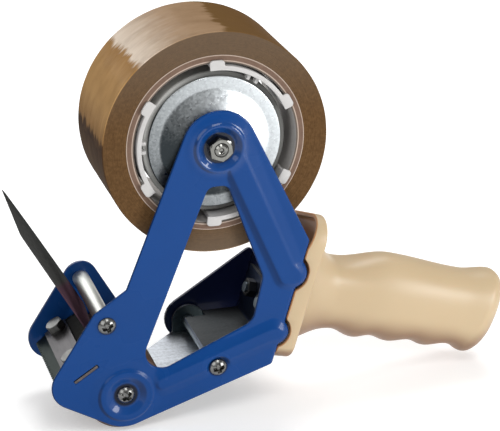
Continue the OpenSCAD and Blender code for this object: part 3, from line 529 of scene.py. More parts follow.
def makeCamera(s):
    a, e = math.radians(s["azimuth"]), math.radians(s["elevation"])
    back = Vector((math.sin(a) * math.cos(e), -math.cos(a) * math.cos(e), math.sin(e)))
    right = Vector((math.cos(a), math.sin(a), 0))
    up = back.cross(right)
    data = bpy.data.cameras.new("camera")
    data.lens = s["lens"]
    data.sensor_width = s["sensor"]
    data.clip_end = s["farthest"]
    camera = bpy.data.objects.new("camera", data)
    turn = Matrix((right, up, back)).transposed().to_4x4()
    camera.matrix_world = Matrix.Translation(inRoom(s["at"])) @ turn
    bpy.context.scene.collection.objects.link(camera)
    bpy.context.scene.camera = camera


makeCamera(cameraSet)


# Pale floor and soft studio light

studio = {"floor": 6.0, "drop": 0.0002, "tones": (0.88, 0.93), "glow": 0.3, "world": 0.3,
          "lamps": [  # name, place in mm from the hub, size in m, watts
              ("softKey", (800, -760, 140), 0.42, 7.6),
              ("softLeft", (-750, -700, 500), 0.7, 3.2),
              ("softFront", (60, -560, 760), 0.36, 2.0),
              ("softTop", (300, 500, 850), 0.5, 5),
              ("softBack", (-190, 880, 420), 0.6, 3)]}


def makeStudio(s):
    white = (1, 1, 1, 1)
    bpy.ops.mesh.primitive_plane_add(size=s["floor"], location=(0, 0, -s["drop"]))
    floor = bpy.context.object
    floor.name = "floor"
    f = Finish("paleFloor", {"Specular IOR Level": 0.1, "Emission Color": white,
                             "Emission Strength": s["glow"]})
    cloud = f.noise(3, 2)
    dark, pale = ((tone,) * 3 for tone in s["tones"])
    f.feed(f.mix(cloud, dark, pale), 0.8 + cloud * 0.1)
    floor.data.materials.append(f.material)
    world = bpy.data.worlds.new("studio")
    world.use_nodes = True
    world.node_tree.nodes["Background"].inputs["Color"].default_value = white
    world.node_tree.nodes["Background"].inputs["Strength"].default_value = s["world"]
    bpy.context.scene.world = world
    bpy.context.scene.view_settings.view_transform = "Standard"
    for name, at, size, watts in s["lamps"]:
        data = bpy.data.lights.new(name, "AREA")
        data.size = size
        data.energy = watts
        lamp = bpy.data.objects.new(name, data)
        lamp.location = inRoom(at)
        lamp.rotation_euler = (hubAt - lamp.location).to_track_quat("-Z", "Y").to_euler()
        bpy.context.scene.collection.objects.link(lamp)


makeStudio(studio)
print("camera and studio set")


# Pressed sheet: a flat pattern with eased edges, raised forms and a fold

lean = 16.5  # of the rear wall and the handle
sheetMesh = {"row": 0.866, "ringFrom": 0.6, "ringStep": 0.35, "ringLeast": 6, "ringMore": 7, "clear": 0.55}


def toFlat(x, z):  # side view to the wall's own directions: along the grip, up the wall
    cosine, sine = direction(math.radians(lean))
    return np.array((x * cosine - z * sine, x * sine + z * cosine))


def fromFlat(along, y, up):
    cosine, sine = direction(math.radians(lean))
    return np.stack((along * cosine + up * sine, y + 0 * along, up * cosine - along * sine), -1)


def meet(p, q):  # edge lines: centre, distance from it, direction that the edge faces
    rows, sides = [], []
    for centre, distance, facing in (p, q):
        normal = direction(math.radians(facing))
        rows.append(normal)
        sides.append(normal @ np.array(centre, float) + distance)
    return np.linalg.solve(np.array(rows), np.array(sides))


def outlineOf(edges, radii, steps=16):
    corners = [(meet(edges[i], edges[(i + 1) % len(edges)]), radii[i]) for i in range(len(edges))]
    return roundedProfile(corners, steps)


def leaned(edges):  # the same edge lines in the wall's directions
    return [(toFlat(*centre), distance, facing + lean) for centre, distance, facing in edges]


def circleLoop(centre, radius, count):
    return [np.array(centre) + radius * direction(a) for a in around(count)]


def resampled(loop, spacing):
    made = []
    for a, b in zip(loop, loop[1:] + loop[:1]):
        count = max(1, int(np.linalg.norm(b - a) / spacing))
        made += [a + (b - a) * i / count for i in range(count)]
    return made


def facingLoop(loop, outside):  # outside edges run anticlockwise, holes clockwise
    p = np.array(loop)
    area = np.sum(p[:, 0] * np.roll(p[:, 1], -1) - p[:, 1] * np.roll(p[:, 0], -1))
    return p if (area > 0) == outside else p[::-1]


def inset(loop, distance):
    before, after = loop - np.roll(loop, 1, 0), np.roll(loop, -1, 0) - loop
    normals = []
    for edge in (before, after):
        edge = edge / np.linalg.norm(edge, axis=1)[:, None]
        normals.append(np.stack((-edge[:, 1], edge[:, 0]), 1))
    middle = normals[0] + normals[1]
    middle /= np.maximum(np.sum(middle * normals[0], 1), 0.5)[:, None]
    return loop + middle * distance


def insideOf(points, loops):
    inside = np.zeros(len(points), bool)
    for loop in loops:
        for (x0, y0), (x1, y1) in zip(loop, np.roll(loop, -1, 0)):
            crosses = (y0 > points[:, 1]) != (y1 > points[:, 1])
            with np.errstate(divide="ignore", invalid="ignore"):
                inside ^= crosses & (points[:, 0] < (x1 - x0) * (points[:, 1] - y0) / (y1 - y0) + x0)
    return inside


def fillPoints(loops, s):  # rows of even triangles inside the loops, with finer rings round each boss
    m, grid = sheetMesh, s["grid"]
    border = np.concatenate(loops)
    low, high = border.min(0), border.max(0)
    u, v = np.meshgrid(np.arange(low[0], high[0], grid), np.arange(low[1], high[1], grid * m["row"]))
    u = u + (np.arange(len(u)) % 2)[:, None] * grid / 2
    fill = np.stack((u.ravel(), v.ravel()), 1)
    for centre, radius in s["ringsAt"]:
        fill = fill[np.linalg.norm(fill - centre, axis=1) > radius]
        for r in np.arange(m["ringFrom"], radius, m["ringStep"]):
            fill = np.concatenate((fill, circleLoop(centre, r, int(m["ringLeast"] + m["ringMore"] * r))))
    fill = fill[insideOf(fill, loops)]
    near = np.array([np.min(np.linalg.norm(border - p, axis=1)) for p in fill])
    return fill[near > grid * m["clear"]]


def pressedSheet(loops, lift, fold, s):
    loops = [facingLoop(resampled(loop, s["grid"]), k == 0) for k, loop in enumerate(loops)]
    pairs, size = [], 0  # neighbours along the loops, and how many points they have
    for loop in loops:
        pairs += [(size + i, size + (i + 1) % len(loop)) for i in range(len(loop))]
        size += len(loop)
    edge = quarter(s["edge"], s["edgeSteps"] + 1)
    *outer, inner = [[inset(loop, drawn) for loop in loops] for drawn, _ in edge]
    outer = [np.concatenate(row) for row in outer]
    flat = np.concatenate(inner + [fillPoints(inner, s)])
    made = delaunay_2d_cdt([Vector(p) for p in flat], pairs, [], 0, 1e-6)
    verts, faces = np.array([tuple(p) for p in made[0]]), np.array(made[2])
    faces = faces[insideOf(verts[faces].mean(1), inner)]
    origin = [group[0] if len(group) else -1 for group in made[3]]
    half = s["thick"] / 2
    points, polygons, starts = [], [], {}
    for side in (1, -1):
        base = sum(len(p) for p in points)
        starts[side] = base
        for row, (_, drop) in zip(outer, edge):
            points.append(fold(*row.T, side * (half - drop) + lift(*row.T)))
        points.append(fold(*verts.T, side * half + lift(*verts.T)))
        first = base + size * len(outer)
        place = {o: first + i for i, o in enumerate(origin) if o >= 0}
        polygons += [[first + i for i in (f if side > 0 else f[::-1])] for f in faces]
        for k in range(len(outer)):
            for i, j in pairs:
                a, b = base + k * size + i, base + k * size + j
                c, d = (a + size, b + size) if k + 1 < len(outer) else (place[i], place[j])
                polygons.append([a, b, d, c] if side > 0 else [a, c, d, b])
    polygons += [[starts[1] + j, starts[1] + i, starts[-1] + i, starts[-1] + j] for i, j in pairs]
    return np.concatenate(points), polygons


# Side frame in blue paint: edges are given by their distance and the direction they face

sideFrame = {"thick": 1.5, "edge": 0.75, "edgeSteps": 4, "grid": 0.8, "fineRings": (13, 14, 7),
             "apex": 17.5, "frontLeg": 158.3, "rearLeg": 25.4, "legWide": 19.6, "neck": 1,
             "lug": 8.4, "lugFacing": (124, 147), "lobe": 16.8, "chin": 240, "nose": 11.5, "beam": 288.1,
             "heel": 4,
             "rear": 56.5, "bend": 2.0, "wall": (-95.4, -40.9), "wallCorners": (2, 2, 2.5), "reach": 15.0,
             "windowTop": 18.8, "windowBeam": (12.7, 293), "windowRear": (22.3, -12.3),
             "windowLeg": (2.6, 19.5), "windowRadii": (4.2, 8.3, 8, 7, 4.2),
             "hubHole": 3.15, "screwHole": 2.15,
             "raise": 1.8, "legBead": ((6.4, -3.6), (51.0, -53.9), (7.8, 10.8), 8.6, (0.56, 0.35)),
             "beamBead": ((-28.0, -113.5), (51.6, -84.1), (7.6, 7.6), 7.6, (0.35, 0.35)),
             "hubBoss": (7.5, 10.5, 10.9), "rollerBoss": (6.4, 9.8, 12.0), "headRoom": (4.4, 6.4),
             "bossFall": ((0.55, 0.2, 1.4, 0.4), (0.45, 1.4, 5.4, 0.8)),  # share, from, to, ease
             "bossEase": 0.4, "bulge": (0.3, 7, 0.6, 0.3, 4)}
beadFall = {"step": 1.1, "most": 0.6, "shares": (0.35, 0.65), "ease": (0.45, 0.5)}
guideAt = np.array((-54.0, -81.0))
halfGap = nodeBox("guide_pin")[1].y  # inside faces of the side plates
plateOut = halfGap + sideFrame["thick"]
blade = {"teeth": (-77.5, -112.1), "slope": 32.8, "slot": (8.8, 21.6), "holder": 1.2, "fit": 0.15}


def onBlade(along, up):  # along the blade and square to it, to the side view
    x, z = blade["teeth"]
    cosine, sine = direction(math.radians(blade["slope"]))
    return x + along * cosine - up * sine, z + along * sine + up * cosine


def slotLoop():
    low, high = blade["slot"]
    fit, deep = blade["fit"], blade["holder"]
    corners = ((low - fit, -deep - fit), (high + fit, -deep - fit), (high + fit, fit), (low - fit, fit))
    return [toFlat(*onBlade(*corner)) for corner in corners]


def ramp(value, low, high, soft):  # straight slope from 0 to 1 with eased ends
    def eased(d):
        return np.where(d > soft, d, np.maximum(0, d + soft) ** 2 / (4 * soft))

    value = np.asarray(value, float)
    return (eased(value - low) - eased(value - high)) / (high - low)


def beadHeight(u, v, a, b, wide, end, flats):  # half widths and flat shares, right and left of its run
    a, b = np.array(a, float), np.array(b, float)
    run = b - a
    share = np.clip(((u - a[0]) * run[0] + (v - a[1]) * run[1]) / (run @ run), 0, 1)
    du, dv = u - a[0] - share * run[0], v - a[1] - share * run[1]
    far = np.hypot(du, dv)
    left = 0.5 + 0.5 * (run[0] * dv - run[1] * du) / np.linalg.norm(run) / np.maximum(far, 1e-6)
    foot = (wide[0] + (wide[1] - wide[0]) * left) * (1 - share) + end * share
    top = foot * (flats[0] + (flats[1] - flats[0]) * left)
    step = top + np.minimum(beadFall["step"], (foot - top) * beadFall["most"])
    (upper, lower), (firstEase, lastEase) = beadFall["shares"], beadFall["ease"]
    return 1 - upper * ramp(far, top, step, firstEase) - lower * ramp(far, step, foot, lastEase)


def makeSideFrame(s):
    apex = (0, 0)
    hub, roller, cross, guide = (toFlat(*place) for place in (apex, rollerAt, crossAt, guideAt))
    low, top = s["wall"]
    middle = s["bend"] - s["thick"] / 2
    start = s["rear"] - s["bend"]
    arc = middle * math.pi / 2
    yMiddle = -halfGap - s["thick"] / 2
    end = start + arc + s["reach"] - yMiddle - middle
    edges = leaned([(apex, s["apex"], s["rearLeg"]), (apex, s["apex"], s["frontLeg"]),
                    (guideAt, s["lug"], s["lugFacing"][0]), (guideAt, s["lug"], s["lugFacing"][1]),
                    (rollerAt, s["lobe"], s["chin"]), (rollerAt, s["lobe"], s["beam"])])
    edges += [((0, low), 0, 270), ((end, 0), 0, 0), ((0, top), 0, 90)]
    radii = [s[name] for name in ("apex", "neck", "lug", "nose", "lobe", "heel")]
    outside = outlineOf(edges, [*radii, *s["wallCorners"]])
    (beamOff, beamFacing), (rearOff, rearFacing), (legOff, legFacing) = (
        s["windowBeam"], s["windowRear"], s["windowLeg"])
    window = outlineOf(leaned([(apex, -s["windowTop"], 90), (apex, s["apex"] - s["legWide"], s["frontLeg"]),
                               (crossAt, -beamOff, beamFacing), (apex, s["rear"] - rearOff, rearFacing),
                               (apex, -legOff, legFacing)]), s["windowRadii"])
    holes = [circleLoop(hub, s["hubHole"], 48)]
    holes += [circleLoop(centre, s["screwHole"], 36) for centre in (roller, cross, guide)]
    beads = [(toFlat(*bead[0]), *bead[1:]) for bead in (s["legBead"], s["beamBead"])]
    bosses = [(hub, s["hubBoss"]), (roller, s["rollerBoss"])]

    def lift(u, v):
        height = np.zeros_like(u)
        for bead in beads:
            height = np.maximum(height, beadHeight(u, v, *bead))
        for centre, (recess, top, r) in bosses:
            far = np.hypot(u - centre[0], v - centre[1])
            wall = ramp(far, recess, top, s["bossEase"])
            ring = wall
            for share, near, away, ease in s["bossFall"]:
                ring = ring - share * ramp(far, r + near, r + away, ease)
            height = np.maximum(np.minimum(height, wall), ring)
        return s["raise"] * height * smoothStep(np.hypot(u - cross[0], v - cross[1]), *s["headRoom"])

    def fold(u, v, n):
        turn = np.clip((u - start) / middle, 0, math.pi / 2)
        past = np.maximum(0, u - start - arc)
        along = np.minimum(u, start) + (middle + n) * np.sin(turn)
        y = yMiddle + middle - (middle + n) * np.cos(turn) + past
        back, before, share, after, gone = s["bulge"]  # the beads' ends stand out of the bend
        bulge = np.zeros_like(u)
        for _, second, _, r, _ in beads:
            reach = np.sqrt(np.maximum(0, r * r - (v - second[1]) ** 2))
            bulge = np.maximum(bulge, second[0] + reach - s["rear"] - back)
        bulge = bulge * smoothStep(u, start - before, start + arc * share)
        bulge = bulge * (1 - smoothStep(u, start + arc + after, start + arc + gone))
        return fromFlat(along + bulge, y, v)

    mesh = pressedSheet([outside, window, slotLoop()] + holes, lift, fold,
                        {**s, "ringsAt": list(zip((hub, roller, cross), s["fineRings"]))})
    addPiece("sideFrameSkin", mesh, "frame", "blue_paint", "side_frame", 50)


makeSideFrame(sideFrame)
print("side frame pressed")


# Handle: guard and grip in beige moulding, in the wall's own directions

handle = {"axis": -68.41, "wall": 56.5, "deep": 8.7, "thick": 2.0, "rim": 0.5, "edge": 1.5, "fillet": 2.2,
          "half": 29.0, "rise": 45.5, "slope": 17.3, "keel": 40.3, "keelAt": 2.0,
          "keelFacing": (290.3, 246.5), "radii": (12, 12, 10, 14, 8), "grid": 0.8, "cut": 4.5,
          "cutFrom": 27.5, "notch": 1.2, "notchWide": 4, "leastRim": 0.4,
          "long": 108.6, "endLow": 14.0, "endTop": 6.0, "endTilt": -0.03,
          "power": 2.3, "calm": 18.0, "calmShare": 0.9, "rings": 190, "crowd": 1.35, "sides": 96,
          "top": ((0, 27.2), (19.5, 15.7), (48.5, 22.5), (88.0, 20.6), (104.0, 23.3), (119.8, 23.3)),
          "low": ((0, 29), (24.3, 18.8), (38.0, 22.2), (46.4, 19.5), (56.5, 21.4), (67.5, 18.7),
                  (77.0, 20.7), (88.5, 17.5), (103.0, 22.4), (119.8, 22.4)),
          "side": ((0, 20), (20.8, 15.5), (52.8, 17), (87.8, 16), (102.8, 16.8), (119.8, 16.8))}


def wave(keys, place):  # level at each crest and trough
    k = max(i for i in range(len(keys) - 1) if place >= keys[i][0])
    (a, low), (b, high) = keys[k], keys[k + 1]
    return low + (high - low) * (1 - math.cos(math.pi * (place - a) / (b - a))) / 2


def makeGuard(s):
    half, axis = s["half"], s["axis"]
    keel = (s["keelAt"], axis - s["keel"])
    edges = [((-half, axis), 0, 180), ((-half, axis + s["rise"]), 0, 90 - s["slope"]), ((half, axis), 0, 0)]
    edges += [(keel, 0, facing) for facing in s["keelFacing"]]
    loop = facingLoop(resampled(outlineOf(edges, s["radii"], 14), s["grid"]), True)
    rear = s["wall"] + s["deep"]
    slant = s["cut"] / (s["rise"] - s["cutFrom"])

    def rimAt(p):  # slanted at the top, and notched for the ends of the frame's beads
        place = s["wall"] + slant * np.maximum(0, p[:, 1] - axis - s["cutFrom"])
        for _, (along, up), _, r, _ in (sideFrame["legBead"], sideFrame["beamBead"]):
            room = r + s["notch"]
            inside = np.sqrt(np.maximum(0, room * room - (p[:, 1] - up) ** 2))
            notched = (p[:, 0] < s["notchWide"] - half) & (inside > 0)
            place = np.where(notched, np.maximum(place, along + inside), place)
        return place

    rim, thick, edge, fillet = s["rim"], s["thick"], s["edge"], s["fillet"]
    front = np.minimum(rimAt(loop), rear - thick - fillet - s["leastRim"])
    rows = [(thick + drawn, rear - thick - drop) for drop, drawn in quarter(fillet, 6)]  # floor's fillet
    for a in np.linspace(0, math.pi, 9):  # rounded rim
        rows.append((thick / 2 + (thick / 2) * math.cos(a), front + rim * (1 - math.sin(a))))
    rows += [(drawn, rear - drop) for drawn, drop in quarter(edge, 6)]  # rounded rear edge
    rings = []
    for drawn, along in rows:
        p = inset(loop, drawn)
        rings.append(fromFlat(along + 0 * p[:, 0], p[:, 0], p[:, 1]))
    addPiece("guardSkin", lofted(rings), "frame", "beige_plastic", "handle_guard", 60)


def makeGrip(s):
    long, exponent = s["long"], 2 / s["power"]
    rings = []
    for k in range(s["rings"] + 1):
        place = long * (1 - (1 - k / s["rings"]) ** s["crowd"])
        reach = np.linspace(-1, 1, 9) * min(s["calm"], s["calmShare"] * place)
        levels = {}
        for name in ("top", "low"):  # crests and grooves fade towards the sides
            calm = float(np.mean([wave(s[name], min(place + d, long)) for d in reach]))
            levels[name] = (calm, wave(s[name], place) - calm)
        ring = []
        for a in around(s["sides"]):
            c, n = math.cos(a), math.sin(a)
            end = s["endLow"] + (s["endTop"] - s["endLow"]) * (n + 1) / 2
            over = min(1.0, max(0.0, (place - long + end) / end))
            drawn = end * (1 - math.sqrt(1 - over * over))
            y = (wave(s["side"], place) - drawn) * math.copysign(abs(c) ** exponent, c)
            calm, crest = levels["top" if n > 0 else "low"]
            up = (calm + crest * n * n - drawn) * math.copysign(abs(n) ** exponent, n)
            along = s["wall"] + s["deep"] + place - max(0, place / long * 2 - 1) * s["endTilt"] * up
            ring.append(fromFlat(np.float64(along), y, up + s["axis"]))
        rings.append(ring)
    addPiece("gripSkin", lofted(rings), "frame", "beige_plastic", "handle_grip", 60)


makeGuard(handle)
makeGrip(handle)
print("handle moulded")


# Tape roll and its core

roll = {"bore": 38.0, "core": 41.7, "outside": 52.7, "depth": (-23.5, 26.5), "layers": 46, "sides": 288,
        "seed": 5, "inset": (0.05, 0.25), "step": 0.10, "endStep": 0.02, "lip": 0.06, "shoulder": 0.3,
        "rows": 24, "rough": 0.05,
        "wave": 0.05, "waves": ((5, 0.13), (11, -0.21), (23, 0.4)), "corners": (0.35, 0.1)}


def makeRoll(s):
    chance = np.random.default_rng(s["seed"])
    near, far = s["depth"]
    outside, lip, shoulder = s["outside"], s["lip"], s["shoulder"]
    radii = np.linspace(s["core"] + s["inset"][0], outside - s["inset"][1], s["layers"])
    step = chance.uniform(0, s["step"], s["layers"])
    step[[0, -1]] = s["endStep"]
    front = [(r, near + e) for r, e in zip(radii, step)]
    back = [(r, far - e) for r, e in zip(radii[::-1], step[::-1])]
    skin = [(outside - lip, near + lip), (outside, near + shoulder)]
    for y in np.linspace(near + 1, far - 1, s["rows"]):
        skin.append((outside - chance.uniform(0, s["rough"]), y))
    skin += [(outside, far - shoulder), (outside - lip, far - lip)]
    points, faces = turned(front + skin + back, sides=s["sides"])
    moved = []
    for x, y, z in points:
        r, a = math.hypot(x, z), math.atan2(z, x)
        if r > outside - shoulder:  # the outer turn lies a little uneven
            swing = sum(math.sin(count * a + twist * y) for count, twist in s["waves"])
            dip = s["wave"] * (swing / len(s["waves"]) - 1)
            x, z = x * (r + dip) / r, z * (r + dip) / r
        moved.append((x, y, z))
    addPiece("tapeRoll", (moved, faces), "hub", "brown_tape", "tape_winding", 30)
    profile = roundedProfile(rectangle(s["bore"], s["core"], near, far, *s["corners"]), 3)
    addPiece("coreTube", turned(profile, sides=180), "hub", "cardboard_core", "tape_core", 40)


makeRoll(roll)


# Hub: zinc dish, white clips and grey drum

dish = {"bore": 4.05, "face": -24.8, "flat": 14.0, "cone": 25.4, "rim": 31.2, "rise": 3.6, "thick": 1.2,
        "bends": (6, 5, 0.5)}
clips = {"turns": (58.5, 178.5, 298.5), "half": 36.0, "pad": 10.5, "radii": (34.9, 37.1, 39.6), "round": 1.6,
         "corner": 0.4, "notch": 0.5, "front": -25.0, "flange": 1.2, "deep": -3.1, "edge": 0.3,
         "bandIn": (1.0, 0.1, 0.5), "bandCorner": 0.5, "ribTurn": 3.7, "rib": (1.5, 32.4, 35.3),
         "ribCorner": 0.2, "ribDeep": (-22.6, -3.6), "ribEdge": 0.15}
drum = {"outside": 33.4, "wall": 2.8, "web": 2.4, "tube": 11.0, "bore": 4.05, "lip": 0.4, "in": 3.9}


def makeDish(s):
    bore, flat, cone, rim, thick = s["bore"], s["flat"], s["cone"], s["rim"], s["thick"]
    face, brim, back = s["face"], s["face"] + s["rise"], thick / 3
    inner, outer, edge = s["bends"]
    corners = [((bore, face), 0), ((flat, face), inner), ((cone, brim), outer),
               ((rim, brim), edge), ((rim, brim + thick), edge), ((cone - back, brim + thick), outer),
               ((flat - back, face + thick), inner), ((bore, face + thick), 0)]
    mesh = turned(roundedProfile(corners, 8), sides=180)
    addPiece("dishSkin", mesh, "hub", "zinc_steel", "hub_dish", 40, dishZinc)


def arcPlate(corners, middle, turn, low, high, edge):  # outline along an arc, made thick along Y
    loop = facingLoop(resampled(roundedProfile(corners, 5), 0.7), True)
    rows = [(drawn, low + drop) for drop, drawn in quarter(edge, 4)]
    rows += [(drawn, high - drop) for drawn, drop in quarter(edge, 4)]
    rings = []
    for drawn, y in rows:
        p = inset(loop, drawn)
        a = math.radians(turn) + p[:, 0] / middle
        rings.append(np.stack((p[:, 1] * np.cos(a), 0 * a + y, p[:, 1] * np.sin(a)), 1))
    return lofted(rings)


def makeClips(s):
    low, high, reach = s["radii"]
    end, root = (math.radians(turn) * high for turn in (s["half"], s["half"] - s["pad"]))
    corner, notch, tip = s["corner"], s["notch"], s["round"]
    flange = [((-end, low), corner), ((end, low), corner), ((end, reach), tip), ((root, reach), tip),
              ((root, high), notch), ((-root, high), notch), ((-root, reach), tip), ((-end, reach), tip)]
    short, thin, back = s["bandIn"]
    band = rectangle(short - end, end - short, low + thin, high - thin, s["bandCorner"], s["bandCorner"])
    wide, foot, top = s["rib"]
    rib = rectangle(-wide / 2, wide / 2, foot, top, s["ribCorner"], s["ribCorner"])
    front = s["front"]
    parts = []
    for turn in s["turns"]:
        parts.append(arcPlate(flange, high, turn, front, front + s["flange"], s["edge"]))
        parts.append(arcPlate(band, high, turn, front + back, s["deep"], s["edge"]))
        for side in (-1, 1):
            parts.append(arcPlate(rib, foot, turn + side * s["ribTurn"], *s["ribDeep"], s["ribEdge"]))
    addPiece("clipSkins", joined(parts), "hub", "white_plastic", "hub_spider", 40)


def makeDrum(s):
    front, end = (float(c.y) for c in nodeBox("hub_drum"))
    outside, bore, tube, lip = s["outside"], s["bore"], s["tube"], s["lip"]
    inner, web, start = outside - s["wall"], end - s["web"], front + s["in"]
    profile = [(bore, front), (tube, front), (tube, web), (inner, web), (inner, start + lip),
               (inner + lip, start), (outside - lip, start), (outside, start + lip),
               (outside, end - lip), (outside - lip, end), (bore, end)]
    addPiece("drumSkin", turned(profile), "hub", "grey_plastic", "hub_drum", 30)


makeDish(dish)
makeClips(clips)
makeDrum(drum)
print("roll, dish and hub turned")


# Application roller's tyre

tyre = {"outside": 19.0, "bore": 14.05, "half": 25.5, "corners": (0.3, 1.2)}


def makeTyre(s):
    profile = roundedProfile(rectangle(s["bore"], s["outside"], -s["half"], s["half"], *s["corners"]), 5)
    addPiece("tyreSkin", turned(profile, rollerAt, 120), "roller", "brown_rubber", "roller_tyre", 40)


makeTyre(tyre)


# Tongue: one bent spring-steel strip from under the clamp to its free tip

tongue = {"wide": 46.0, "thick": 0.8, "foot": (7.5, 24.2), "lie": 1.2, "bend": 4.0, "lean": 29.0,
          "split": 0.5, "long": 72.0, "bevel": 2.2, "tip": 0.35, "rim": 0.985, "rimThin": 0.6,
          "twist": (-1.3, 2.4), "untwist": 0.6, "slant": 4.0, "steps": (8, 14, 40), "blend": (-1.5, 3.0)}


def makeTongue(s):
    up, free = math.radians(blade["slope"]), math.radians(90 + s["lean"])
    way, length = direction(free), s["long"] + s["split"]
    first, last = (np.array(onBlade(p, s["lie"])) for p in s["foot"])
    centre = last + s["bend"] * direction(up + math.pi / 2)
    footSteps, bendSteps, freeSteps = s["steps"]
    path = [(first + (last - first) * share, up) for share in np.linspace(0, 1, footSteps)]
    footEnd = len(path) - 1
    for a in np.linspace(up, free, bendSteps)[1:]:
        path.append((centre + s["bend"] * np.array((math.sin(a), -math.cos(a))), a))
    bendEnd = len(path) - 1
    root = path[bendEnd][0]
    path += [(root + length * share * way, free) for share in np.linspace(0, 1, freeSteps)[1:]]
    rim, (nearTwist, farTwist) = s["rim"], s["twist"]
    outline = ((-1, -1), (-rim, -1), (rim, -1), (1, -1), (1, 1), (rim, 1), (-rim, 1), (-1, 1))
    rings = []
    for k, (p, a) in enumerate(path):
        normal = np.array((-math.sin(a), math.cos(a)))
        back = length - np.linalg.norm(p - root) if k > bendEnd else length
        thin = s["thick"] / 2
        if back < s["bevel"]:
            thin *= s["tip"] + (1 - s["tip"]) * back / s["bevel"]
        grow, share = float(smoothStep(k, footEnd, bendEnd)), max(0.0, 1 - back / length)
        ring = []
        for across, sign in outline:
            near = (1 - across) / 2
            spot = p + normal * sign * thin * (s["rimThin"] if abs(across) == 1 else 1)
            spot = spot - direction(a) * s["slant"] * near * share
            shift = grow * (nearTwist * near + farTwist * (1 - near) * (1 - s["untwist"] * share * share))
            ring.append((spot[0] + shift, across * s["wide"] / 2, spot[1]))
        rings.append(ring)
    piece = newPiece("tongueStrip", lofted(rings), finishes["blued_steel"], 35)
    start, end = (onSide(tongueRoot + way * d) for d in s["blend"])
    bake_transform(piece)
    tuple(start)
    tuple(end)
    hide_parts("tongue", "tongue_foot")


makeTongue(tongue)
print("roller and tongue made")


# Springs as smooth wire

brakeSpring = {"radius": 7.0, "wire": 1.5, "curls": 4.5, "pitch": 2.2, "from": 5.65}
stopSpring = {"radius": 4.2, "wire": 1.0, "curls": 3.5, "pitch": 1.5, "from": -23.1, "leg": 8.5, "low": -4.5}


def tube(path, radius, sides=14):
    path = [np.array(p, float) for p in path]
    rings = []
    for k, p in enumerate(path):
        way = path[min(k + 1, len(path) - 1)] - path[max(k - 1, 0)]
        across = np.cross(way, (0, 1, 0))
        across /= np.linalg.norm(across)
        third = np.cross(across, way) / np.linalg.norm(way)
        rings.append([p + radius * (math.cos(a) * across + math.sin(a) * third) for a in around(sides)])
    return lofted(rings)


def helix(s, at, way, phase, steps=48):
    path = []
    for i in range(int(s["curls"] * steps) + 1):
        x, z = at + s["radius"] * direction(phase + way * 2 * math.pi * i / steps)
        path.append((x, s["from"] + s["pitch"] * i / steps, z))
    return path


def makeBrakeSpring(s):
    path = helix(s, np.zeros(2), 1, 0)
    addPiece("brakeCoil", tube(path, s["wire"] / 2), "frame", "spring_steel", "brake_spring", 60)


def makeStopSpring(s):
    coil = helix(s, crossAt, -1, -math.pi / 2)
    x, z = crossAt
    top = nodeBox("stop_spring")[1].z - s["wire"] / 2
    ends = [(x + s["leg"], coil[0][1], z + s["low"]), (x + s["leg"], coil[-1][1], top)]
    path = [*np.linspace(ends[0], coil[0], 7)[:-1], *coil, *np.linspace(coil[-1], ends[1], 7)[1:]]
    addPiece("stopCoil", tube(path, s["wire"] / 2), "frame", "spring_steel", "stop_spring", 60)


makeBrakeSpring(brakeSpring)
makeStopSpring(stopSpring)


# Pan-head screws with cross recesses

screws = {"head": 8.5, "ball": 0.62, "high": 2.6, "least": 0.02, "shank": 4.0, "long": 9.0, "arm": 2.7,
          "armFlat": 0.8, "groove": 1.0, "grooveFlat": 0.55, "deep": 1.9, "turns": 96, "steps": 26,
          "farTwist": 0.5, "each": (("guideScrews", guideAt, "guide_pin_screws", 0.35),
                                    ("rollerScrews", rollerAt, "roller_screws", 0.72),
                                    ("crossScrews", crossAt, "cross_pin_screws", 0.2))}


def panHead(at, side, twist, s):
    radius, ball, turns = s["head"] / 2, s["head"] * s["ball"], s["turns"]

    def groove(across, along):  # 1 inside one bar of the cross
        inside = 1 - smoothStep(abs(across), s["groove"] * s["grooveFlat"], s["groove"])
        return float(inside * (1 - smoothStep(abs(along), s["arm"] * s["armFlat"], s["arm"])))

    def place(x, z, level):
        return at[0] + x, side * (plateOut + level), at[1] + z

    points = []
    for k in range(1, s["steps"] + 1):
        r = radius * k / s["steps"]
        dome = max(s["least"], s["high"] - ball + math.sqrt(max(0, ball * ball - r * r)))
        for a in around(turns):
            u, v = r * direction(a - twist)
            x, z = r * direction(a)
            points.append(place(x, z, dome - s["deep"] * max(groove(u, v), groove(v, u))))
    faces = ringFaces(s["steps"], turns)
    tip = len(points)
    points.append(place(0, 0, s["high"] - s["deep"]))
    faces += [[tip, i, (i + 1) % turns] for i in range(turns)]
    last, under = (s["steps"] - 1) * turns, len(points)
    for r, level in ((radius, 0), (s["shank"] / 2, 0), (s["shank"] / 2, -s["long"])):
        points += [place(*p) for p in ringAt(r, level, turns)]
    for i in range(turns):
        j = (i + 1) % turns
        faces.append([last + i, last + j, under + j, under + i])
    faces += [[under + i for i in f] for f in ringFaces(3, turns)]
    faces.append([under + 2 * turns + i for i in range(turns)])
    return points, faces


def makeScrews(s):
    for name, at, node, twist in s["each"]:
        mesh = joined([panHead(at, -1, twist, s), panHead(at, 1, twist + s["farTwist"], s)])
        addPiece(name, mesh, "frame", "zinc_steel", node, 40, screwSteel)


makeScrews(screws)


# Chamfered nuts and bolt heads

